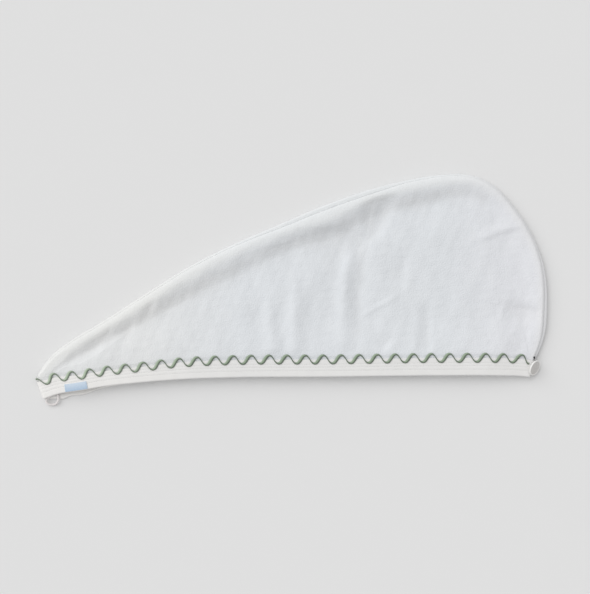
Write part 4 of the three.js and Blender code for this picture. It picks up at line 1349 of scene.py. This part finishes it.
@dataclass
class WaveRibbon:
    """The narrow sage ribbon sewn in even waves over the band's upper edge."""

    form: TowelForm
    ring: BandRing
    troughs: int = 27
    first_trough: float = -312.8
    last_trough: float = 280.2
    swing: float = 5.3
    half: float = 1.3
    flare: float = 0.72
    roundness: float = 0.045
    gap: float = 0.3
    fold_gap: float = -0.7  # how much lower it lies where it turns round the left fold
    fold_gap_over: tuple[float, float] = (1.0, 6.0)
    thick: float = 0.85
    room_below: float = 20.9
    end_gap: float = 7.5
    end_slack: float = 2.0  # how far the slanted ends may reach past the ribbon's two ends
    pitch: float = 0.75
    on_edge_shade: float = 0.85  # share of the painted shade where it is turned on edge
    shaded_side: tuple[float, float] = (0.45, -0.75)  # across the ribbon, from its lit to its shaded side, for the painted shade
    slope_over: tuple[float, float] = (0.15, 0.75)

    def build(self) -> bpy.types.Object:
        """Builds the ribbon, from the wide end round the left fold and back below."""
        ring, form = self.ring, self.form
        start = ring.at_hem(form.hem.length - self.end_gap)
        end = ring.lower_end - start
        s = np.linspace(start, end, round((end - start) / self.pitch))
        last = ring.at_x(self.last_trough)
        period = (ring.at_x(self.first_trough) - last) / (self.troughs - 1)
        rest_from = last + (self.troughs - 0.5) * period
        rest = ring.left_start + ring.left_end - 2 * rest_from
        waved = np.where(s < rest_from, s, np.maximum(rest_from, s - rest))
        phase = 2 * math.pi * (last - waved) / period
        rounded = np.cos(phase) - self.roundness * np.cos(3 * phase)
        steep = 2 * math.pi * self.swing / period
        steep = steep * (np.sin(phase) - 3 * self.roundness * np.sin(3 * phase))
        width = ring.stations(s)["width"]
        below = s > ring.left_start
        clear = np.where(below, np.maximum(0.0, self.room_below - width), 0.0)
        middle = width + clear - self.swing * rounded
        half = self.half + self.flare * np.sin(phase)
        tilt = np.hypot(1.0, steep)
        away = np.abs(s - (ring.left_start + ring.left_end) / 2)
        inner = form.half + self.gap + self.fold_gap * (1 - smooth(*self.fold_gap_over, away))
        section = [
            (-0.96, 0.0), (0.96, 0.0), (1.04, 0.25), (0.97, 0.55), (0.78, 0.8), (0.45, 0.95),
            (0.0, 1.0), (-0.45, 0.95), (-0.78, 0.8), (-0.97, 0.55), (-1.04, 0.25),
        ]
        rising = (1 + np.sin(phase)) / 2
        points = np.empty((len(s), len(section), 3))
        uv = np.empty((len(s), len(section), 2))
        for k, (side, up) in enumerate(section):
            to = side * half
            along = np.clip(s + steep / tilt * to, start - self.end_slack, end + self.end_slack)
            points[:, k] = ring.place(along, middle + to / tilt, inner + up * self.thick)
            # Painted shade: darker on one side, and on the strokes that are turned on edge.
            shaded = smooth(*self.shaded_side, side)
            uv[:, k, 0] = s
            uv[:, k, 1] = mix(self.on_edge_shade, shaded, smooth(*self.slope_over, rising))
        skin = Skin()
        skin.tube(skin.grid(points, uv))
        return skin.finish("wave_ribbon")


@dataclass
class SideLabel:
    """The small blank tape label on the band near the narrow end."""

    form: TowelForm
    ring: BandRing
    start: float = 31.2
    end: float = 60.2
    low: float = 0.6
    high: float = 10.2
    gap: float = 0.3
    thick: float = 0.5
    selvedge: float = 0.35  # share of the thickness that is lost at the two selvedges
    selvedge_power: int = 8
    long_rows: int = 40
    cross_rows: int = 15

    def build(self) -> bpy.types.Object:
        """Builds the tape with rounded selvedges."""
        ring = self.ring
        first = ring.at_hem(self.end)
        s = np.linspace(first, ring.at_hem(self.start), self.long_rows)
        inner = self.form.half + self.gap
        w = np.linspace(self.low, self.high, self.cross_rows)
        across = np.abs(np.linspace(-1, 1, self.cross_rows))
        crown = 1 - self.selvedge * across**self.selvedge_power
        section = [(a, inner + self.thick * b) for a, b in zip(w, crown)]
        section += [(self.high, inner), (self.low, inner)]
        points = np.empty((len(s), len(section), 3))
        uv = np.empty((len(s), len(section), 2))
        for k, (at, n) in enumerate(section):
            points[:, k] = ring.place(s, np.full(len(s), at), np.full(len(s), n))
            uv[:, k, 0] = s - first
            uv[:, k, 1] = at
        skin = Skin()
        skin.tube(skin.grid(points, uv))
        return skin.finish("label_tape", sharp=40)


@dataclass
class TiltedButton:
    """The round button on its thread shank, leaning on the band's right corner."""

    radius: float = 10.2
    centre: tuple[float, float, float] = (308.6, -102.7, 10.6)
    facing: tuple[float, float, float] = (0.689, -0.336, 0.643)
    back: float = 3.0  # how far the shank reaches behind the button's middle
    dish: float = 0.2
    segments: int = 72
    windings: int = 4
    wound: float = 2.25  # distance of the wound thread from the shank's middle
    wound_over: tuple[float, float] = (-2.8, -1.6)
    strand: float = 0.3

    def _frame(self) -> tuple[np.ndarray, np.ndarray, np.ndarray]:
        """Returns the button's two face directions and the way that it faces."""
        face = unit(np.array(self.facing))
        side = unit(np.cross([0.0, 0.0, 1.0], face))
        return side, np.cross(face, side), face

    def build(self) -> bpy.types.Object:
        """Builds the button by turning its section round its axis."""
        r = self.radius
        section = [
            (2.0, -3.0), (2.2, -1.3), (r - 1.6, -1.15), (r - 0.8, -0.8), (r - 0.25, -0.2), (r, 0.5),
            (r - 0.1, 0.95), (r - 0.35, 1.3), (r - 0.7, 1.48), (r - 1.05, 1.45), (r - 1.35, 1.2),
            (r - 1.65, 0.85), (r - 2.1, 0.55), (r - 2.9, 0.36), (r - 4.4, 0.27), (r - 6.4, 0.22),
        ]
        turn = np.linspace(0, 2 * math.pi, self.segments, endpoint=False)
        side, other, face = self._frame()
        around = circle(turn, side, other)
        centre = np.array(self.centre)
        rings = np.array([centre + around * radius + face * height for radius, height in section])
        uv = np.array([columns(turn * 5, np.full_like(turn, radius)) for radius, _ in section])
        skin = Skin()
        grid = skin.grid(rings, uv)
        skin.around(grid)
        back = skin.grid((centre - face * self.back)[None, None])[0, 0]
        front = skin.grid((centre + face * self.dish)[None, None])[0, 0]
        for k in range(self.segments):
            after = (k + 1) % self.segments
            skin.faces.append((int(back), int(grid[0, after]), int(grid[0, k])))
            skin.faces.append((int(front), int(grid[-1, k]), int(grid[-1, after])))
        return skin.finish("round_button", sharp=60)

    def thread(self) -> bpy.types.Object:
        """Builds the sewing thread wound round the shank behind the button."""
        side, other, face = self._frame()
        t = np.linspace(0, 1, 12 * self.windings + 1)
        turn = 2 * math.pi * self.windings * t
        spoke = circle(turn, side, other)
        line = np.array(self.centre) + spoke * self.wound + np.outer(mix(*self.wound_over, t), face)
        around = np.linspace(0, 2 * math.pi, 8, endpoint=False)
        thin = self.strand * np.sqrt(np.clip(1 - np.abs(2 * t - 1) ** 24, 0.05, 1))
        rings = line[:, None, :] + thin[:, None, None] * (
            spoke[:, None, :] * np.cos(around)[None, :, None] + face * np.sin(around)[None, :, None]
        )
        skin = Skin()
        skin.tube(skin.grid(rings))
        return skin.finish("button_thread")


@dataclass
class ElasticLoop:
    """The twisted elastic cord at the narrow tip, which goes round the button when worn."""

    route: tuple[tuple[float, float, float], ...] = (
        (-304.5, -131.5, 5.0),
        (-308.0, -138.0, 5.0),
        (-311.8, -142.3, 5.0),
        (-313.3, -146.0, 4.4),
        (-310.8, -149.2, 3.2),
        (-306.2, -150.2, 2.3),
        (-301.8, -149.2, 2.6),
        (-298.6, -145.8, 4.3),
        (-297.9, -141.0, 5.0),
        (-299.6, -134.5, 5.0),
        (-300.5, -128.5, 5.0),
    )
    radius: float = 1.3
    plies: int = 3
    lay: float = 6.5  # length of one full twist
    sides: int = 10
    ply_share: float = 0.58  # radius of one ply as a share of the cord's
    out_share: float = 0.5  # and how far out its middle lies
    flatten: float = 1.12
    span_rows: int = 24

    def centreline(self, step: float = 0.4) -> np.ndarray:
        """Returns the cord's middle line, evenly spaced, in millimetres."""
        p = np.array(self.route)
        p = np.vstack([2 * p[0] - p[1], p, 2 * p[-1] - p[-2]])
        out = []
        for i in range(1, len(p) - 2):
            knots = [0.0]
            for a, b in ((i - 1, i), (i, i + 1), (i + 1, i + 2)):
                knots.append(knots[-1] + np.linalg.norm(p[b] - p[a]) ** 0.5)
            t0, t1, t2, t3 = knots
            t = np.linspace(t1, t2, self.span_rows, endpoint=False)[:, None]
            a1 = (t1 - t) / (t1 - t0) * p[i - 1] + (t - t0) / (t1 - t0) * p[i]
            a2 = (t2 - t) / (t2 - t1) * p[i] + (t - t1) / (t2 - t1) * p[i + 1]
            a3 = (t3 - t) / (t3 - t2) * p[i + 1] + (t - t2) / (t3 - t2) * p[i + 2]
            b1 = (t2 - t) / (t2 - t0) * a1 + (t - t0) / (t2 - t0) * a2
            b2 = (t3 - t) / (t3 - t1) * a2 + (t - t1) / (t3 - t1) * a3
            out.append((t2 - t) / (t2 - t1) * b1 + (t - t1) / (t2 - t1) * b2)
        line = np.vstack(out + [p[-2:-1]])
        s = arc_lengths(line)
        even = np.linspace(0, s[-1], round(s[-1] / step) + 1)
        return columns(*(np.interp(even, s, line[:, k]) for k in range(3)))

    def build(self) -> tuple[bpy.types.Object, np.ndarray]:
        """Builds the cord.

        Returns:
            The cord, and its middle line in metres.
        """
        line = self.centreline()
        ahead = unit(np.gradient(line, axis=0))
        level = unit(np.cross(ahead, [0.0, 0.0, 1.0]))
        rise = np.cross(level, ahead)
        s = arc_lengths(line)
        ply = self.radius * self.ply_share
        out = self.radius * self.out_share
        turn = np.linspace(0, 2 * math.pi, self.sides, endpoint=False)
        skin = Skin()
        for k in range(self.plies):
            angle = 2 * math.pi * (s / self.lay + k / self.plies)
            spoke = level * np.cos(angle)[:, None] + rise * np.sin(angle)[:, None]
            side = np.cross(ahead, spoke)
            centre = line + spoke * out
            rings = centre[:, None, :] + ply * (
                spoke[:, None, :] * np.cos(turn)[None, :, None]
                + side[:, None, :] * np.sin(turn)[None, :, None] * self.flatten
            )
            skin.tube(skin.grid(rings))
        return skin.finish("elastic_cord"), line * MM


class StitchTree:
    """The node tree that lays small thread stitches along lines."""

    def __init__(self) -> None:
        """Builds the tree with its named inputs."""
        tree = bpy.data.node_groups.new("stitches along lines", "GeometryNodeTree")
        face = tree.interface
        for name, kind, value in (
            ("Geometry", "Geometry", None),
            ("Spacing", "Float", 0.0031),
            ("Stitch Length", "Float", 0.0024),
            ("Thread Radius", "Float", 0.0003),
            ("Unevenness", "Float", 0.06),
            ("Seed", "Int", 5),
            ("Thread", "Material", None),
        ):
            socket = face.new_socket(name, in_out="INPUT", socket_type="NodeSocket" + kind)
            if value is not None:
                socket.default_value = value
        face.new_socket("Geometry", in_out="OUTPUT", socket_type="NodeSocketGeometry")
        self.tree = tree
        self._lay()

    def _node(self, kind: str, links: dict, **settings: object) -> bpy.types.NodeSocket:
        """Adds a node with its links or values, and returns its first output."""
        node = self.tree.nodes.new(kind)
        for key, value in settings.items():
            setattr(node, key, value)
        for key, value in links.items():
            if isinstance(value, bpy.types.NodeSocket):
                self.tree.links.new(value, node.inputs[key])
            else:
                node.inputs[key].default_value = value
        return node.outputs[0]

    def _lay(self) -> None:
        """Lays the nodes, from the lines to realized stitches."""
        given = self.tree.nodes.new("NodeGroupInput").outputs
        add = self._node
        curve = add("GeometryNodeMeshToCurve", {0: given["Geometry"]})
        spaced = {"Curve": curve, "Length": given["Spacing"]}
        even = add("GeometryNodeResampleCurve", spaced, mode="LENGTH")
        ball = add("GeometryNodeMeshUVSphere", {"Segments": 6, "Rings": 4, "Radius": 1.0})
        half = add("ShaderNodeMath", {0: given["Stitch Length"], 1: 0.5}, operation="MULTIPLY")
        thin = given["Thread Radius"]
        size = add("ShaderNodeCombineXYZ", {0: thin, 1: thin, 2: half})
        stitch = add("GeometryNodeTransform", {"Geometry": ball, "Scale": size})
        ahead = add("GeometryNodeInputTangent", {})
        back = add("ShaderNodeMath", {0: 0.0, 1: given["Unevenness"]}, operation="SUBTRACT")
        box = {0: (-1.0, -1.0, -1.0), 1: (1.0, 1.0, 1.0), "Seed": given["Seed"]}
        stray = add("FunctionNodeRandomValue", box, data_type="FLOAT_VECTOR")
        scaled = add("ShaderNodeVectorMath", {0: stray, "Scale": back}, operation="SCALE")
        lean = add("ShaderNodeVectorMath", {0: ahead, 1: scaled}, operation="ADD")
        turned = add("FunctionNodeAlignRotationToVector", {"Vector": lean}, axis="Z")
        places = {"Points": even, "Instance": stitch, "Rotation": turned}
        real = add("GeometryNodeRealizeInstances", {0: add("GeometryNodeInstanceOnPoints", places)})
        shaded = add("GeometryNodeSetShadeSmooth", {"Geometry": real})
        dressed = add("GeometryNodeSetMaterial", {"Geometry": shaded, "Material": given["Thread"]})
        out = self.tree.nodes.new("NodeGroupOutput")
        self.tree.links.new(dressed, out.inputs[0])

    def run(
        self, name: str, lines: list[np.ndarray], thread: bpy.types.Material, **sizes: float
    ) -> bpy.types.Object:
        """Lays stitches along lines and returns them as a plain mesh object.

        Args:
            name: The piece's name.
            lines: Each line's points, in millimetres.
            thread: The thread's finish.
            sizes: The tree's inputs to change, by name with _ for a space.

        Returns:
            The stitches as one object.
        """
        points = np.vstack(lines) * MM
        edges = []
        first = 0
        for line in lines:
            edges += [(first + k, first + k + 1) for k in range(len(line) - 1)]
            first += len(line)
        mesh = bpy.data.meshes.new(name)
        mesh.from_pydata(points.tolist(), edges, [])
        obj = bpy.data.objects.new(name, mesh)
        bpy.context.collection.objects.link(obj)
        modifier = obj.modifiers.new("stitches", "NODES")
        modifier.node_group = self.tree
        wanted = {key.replace("_", " "): value for key, value in sizes.items()}
        wanted["Thread"] = thread
        for item in self.tree.interface.items_tree:
            if item.item_type == "SOCKET" and item.in_out == "INPUT" and item.name in wanted:
                modifier[item.identifier] = wanted[item.name]
        graph = bpy.context.evaluated_depsgraph_get()
        made = bpy.data.meshes.new_from_object(obj.evaluated_get(graph))
        obj.modifiers.remove(modifier)
        obj.data = made
        return obj


@dataclass
class ThreadWork:
    """All stitches: the rows along the band, the label's ends and the dark tack at the corner, a bar of
    thread that stands in for the shade in the gap where the seam ends.
    """

    form: TowelForm
    ring: BandRing
    binding: Binding
    tree: StitchTree
    # the dark bar of thread stands in for the shade in the gap where the seam ends
    tack: tuple[float, float] = (308.8, -89.9)
    tack_turn: float = 0.35
    tack_half: float = 1.45
    tack_strand: float = 0.42
    tack_step: float = 0.62
    tack_shorter: float = 0.07  # how much shorter the strands beside the middle one are
    tack_lift: float = 0.25
    tack_arch: float = 0.22
    row_points: int = 420
    from_end: float = 6.0  # where a row starts past the right fold
    from_fold: float = 4.0
    above: float = 0.12  # how far the thread's middle lies over the cloth
    above_below: float = 0.05  # and on the hidden side
    label_in: tuple[float, float] = (1.3, 0.9)  # the label's rows: in from its ends and its sides
    label_points: int = 12

    def band_rows(self, thread: bpy.types.Material) -> bpy.types.Object:
        """Lays the rows of stitches in the band's channels, above and below."""
        ring, channels, count = self.ring, self.binding.channels, self.row_points
        upper = np.linspace(self.from_end, ring.left_start - self.from_fold, count)
        lower = np.linspace(ring.left_end + self.from_fold, ring.lower_end - self.from_end, count)
        lines = []
        for s, rows, above in ((upper, channels, self.above), (lower, channels[:2], self.above_below)):
            for w in rows:
                n = self.form.half - float(self.binding.sink(w)) + above
                lines.append(ring.place(s, w, n))
        return self.tree.run("topstitch_rows", lines, thread)

    def label_rows(self, label: SideLabel, thread: bpy.types.Material) -> bpy.types.Object:
        """Lays the short rows that hold the label's two ends."""
        ring, count = self.ring, self.label_points
        from_end, from_side = self.label_in
        n = self.form.half + label.gap + label.thick + self.above_below
        w = np.linspace(label.low + from_side, label.high - from_side, count)
        lines = []
        for arc in (label.start + from_end, label.end - from_end):
            lines.append(ring.place(np.full(count, ring.at_hem(arc)), w, n))
        return self.tree.run(
            "label_stitches", lines, thread, Spacing=0.0016, Stitch_Length=0.0012, Thread_Radius=0.00022
        )

    def seam_gap_shade_tack(self, over: list[bpy.types.Object]) -> bpy.types.Object:
        """Builds the short dark bar of thread on top of what lies below it. It stands in for the shade in
        the gap where the seam ends.

        Args:
            over: The pieces that it may lie on.

        Returns:
            The tack.
        """
        along = np.array([math.cos(self.tack_turn), math.sin(self.tack_turn)])
        across = np.array([-along[1], along[0]])
        middle = np.array(self.tack)
        trees = []
        for obj in over:
            corners = [vertex.co[:] for vertex in obj.data.vertices]
            faces = [polygon.vertices[:] for polygon in obj.data.polygons]
            trees.append(BVHTree.FromPolygons(corners, faces))

        def top(place: np.ndarray) -> float:
            """Returns the height of the topmost piece at a plan point."""
            ray = Vector((place[0] * MM, place[1] * MM, 0.1))
            hits = [tree.ray_cast(ray, Vector((0, 0, -1)))[0] for tree in trees]
            return max((hit.z / MM for hit in hits if hit is not None), default=5.0)

        skin = Skin()
        turn = np.linspace(0, 2 * math.pi, 8, endpoint=False)
        round_it = circle(turn, np.append(across, 0.0), np.array([0.0, 0.0, 1.0]))
        for row in (-2, -1, 0, 1, 2):
            reach = self.tack_half * (1 - self.tack_shorter * row * row)
            rings = []
            for place in np.linspace(-1, 1, 13):
                at = middle + along * place * reach + across * self.tack_step * row
                lift = top(at) + self.tack_lift + self.tack_arch * (1 - place**4)
                thin = self.tack_strand * math.sqrt(max(0.03, 1 - place**8))
                rings.append(np.append(at, lift) + thin * round_it)
            skin.tube(skin.grid(np.array(rings)))
        return skin.finish("seam_gap_shade_tack")


# Studio.


@dataclass
class Studio:
    """The pale surface, the soft light and the camera above the towel."""

    width_mm: float = 755.9  # height of the picture at the towel, in millimetres
    centre: tuple[float, float] = (4.07, -12.7)
    subject: float = 9.0
    lens: float = 85.0
    sensor: float = 36.0
    floor_grey: float = 0.80
    floor_shade: float = 0.994  # how much darker its faint patches are
    floor_half: float = 8.0  # half of its side, in metres
    fill: float = 0.607
    sun: float = 1.48
    sun_elevation: float = 43.0
    sun_azimuth: float = 140.0
    sun_spread: float = 58.0
    sun_place: tuple[float, float, float] = (-1.5, 1.5, 2.0)

    def camera(self) -> None:
        """Hangs the camera straight above the towel."""
        data = bpy.data.cameras.new("camera")
        data.lens = self.lens
        data.sensor_width = self.sensor
        data.clip_end = 50.0
        obj = bpy.data.objects.new("camera", data)
        distance = self.width_mm * self.lens / self.sensor + self.subject
        obj.location = (self.centre[0] * MM, self.centre[1] * MM, distance * MM)
        bpy.context.collection.objects.link(obj)
        bpy.context.scene.camera = obj

    def light(self) -> None:
        """Sets the soft fill and the one broad key light from the upper left."""
        world = bpy.data.worlds.new("studio")
        world.use_nodes = True
        back = world.node_tree.nodes["Background"]
        back.inputs[0].default_value = (1.0, 1.0, 1.0, 1.0)
        back.inputs[1].default_value = self.fill
        bpy.context.scene.world = world
        data = bpy.data.lights.new("key", "SUN")
        data.energy = self.sun
        data.angle = math.radians(self.sun_spread)
        obj = bpy.data.objects.new("key", data)
        up, turn = math.radians(self.sun_elevation), math.radians(self.sun_azimuth)
        toward = -Vector((math.cos(up) * math.cos(turn), math.cos(up) * math.sin(turn), math.sin(up)))
        obj.rotation_euler = toward.to_track_quat("-Z", "Y").to_euler()
        obj.location = self.sun_place
        bpy.context.collection.objects.link(obj)

    def floor(self) -> None:
        """Lays the plain pale surface."""
        mesh = bpy.data.meshes.new("floor")
        side = self.floor_half
        mesh.from_pydata(
            [(-side, -side, 0), (side, -side, 0), (side, side, 0), (-side, side, 0)], [], [(0, 1, 2, 3)]
        )
        recipe = Recipe("pale surface", 0.9, Specular_IOR_Level=0.1)
        grey, darker = self.floor_grey, self.floor_grey * self.floor_shade
        colour = recipe.blend(recipe.noise(0.05, 1.0), (darker,) * 3, (grey,) * 3)
        normal = recipe.bump(recipe.noise(0.002, 1.0), 0.00002, 0.2)
        mesh.materials.append(recipe.finish(colour, normal))
        obj = bpy.data.objects.new("floor", mesh)
        bpy.context.collection.objects.link(obj)

    def set_up(self) -> None:
        """Sets the camera, the light, the surface and a neutral tone curve."""
        self.camera()
        self.light()
        self.floor()
        view = bpy.context.scene.view_settings
        view.view_transform = "Standard"
        view.look = "None"


def main() -> None:
    """Builds the towel around its frame, piece by piece."""
    logging.basicConfig(level=logging.INFO, format="%(name)s: %(message)s")
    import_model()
    Studio().set_up()
    form = TowelForm()
    ring = BandRing(form, gap=0.3)

    loop = ElasticLoop()
    cord, path = loop.build()
    elastic = YarnFinish("covered elastic", (0.90, 0.868, 0.862), (0.77, 0.735, 0.725))
    dress(cord, elastic.material(), "elastic", "button_loop")
    length = float(arc_lengths(path)[-1])
    LOG.info("elastic cord: %.4f m long", length)
    tuple(path[0])

    terry = TerryFinish().material()
    panels = TerryPanels(form)
    upper = dress(panels.upper(), terry, "terry", "upper_panel")
    lower = dress(panels.lower(), terry, "terry", "lower_panel")

    binding = Binding(form, ring)
    band_cloth = ClothFinish("binding cloth", (0.835, 0.83, 0.82), (0.775, 0.77, 0.76))
    band = dress(binding.build(), band_cloth.material(), "binding", "hem_band")
    ribbon = dress(WaveRibbon(form, ring).build(), RibbonFinish().material(), "ribbon", "wave_trim")
    label = SideLabel(form, ring)
    tape = dress(label.build(), LabelFinish().material(), "label", "side_label")

    white_thread = YarnFinish("white thread", (0.84, 0.835, 0.825), (0.70, 0.695, 0.685)).material()
    blue_thread = YarnFinish("blue thread", (0.56, 0.67, 0.79), (0.40, 0.51, 0.66)).material()
    # Near-black thread for the bar that stands in for the shade at the seam's end.
    seam_gap_shade_thread = YarnFinish("dark thread", (0.022, 0.021, 0.022), (0.008, 0.008, 0.008)).material()

    button = TiltedButton()
    dress(button.build(), ButtonFinish().material(), "button", "button")
    dress(button.thread(), white_thread, "binding")

    work = ThreadWork(form, ring, binding, StitchTree())
    rows = dress(work.band_rows(white_thread), white_thread, "binding")
    ends = dress(work.label_rows(label, blue_thread), blue_thread, "label")
    tack = dress(work.seam_gap_shade_tack([upper, lower, band]), seam_gap_shade_thread, "binding")


if __name__ == "__main__":
    main()
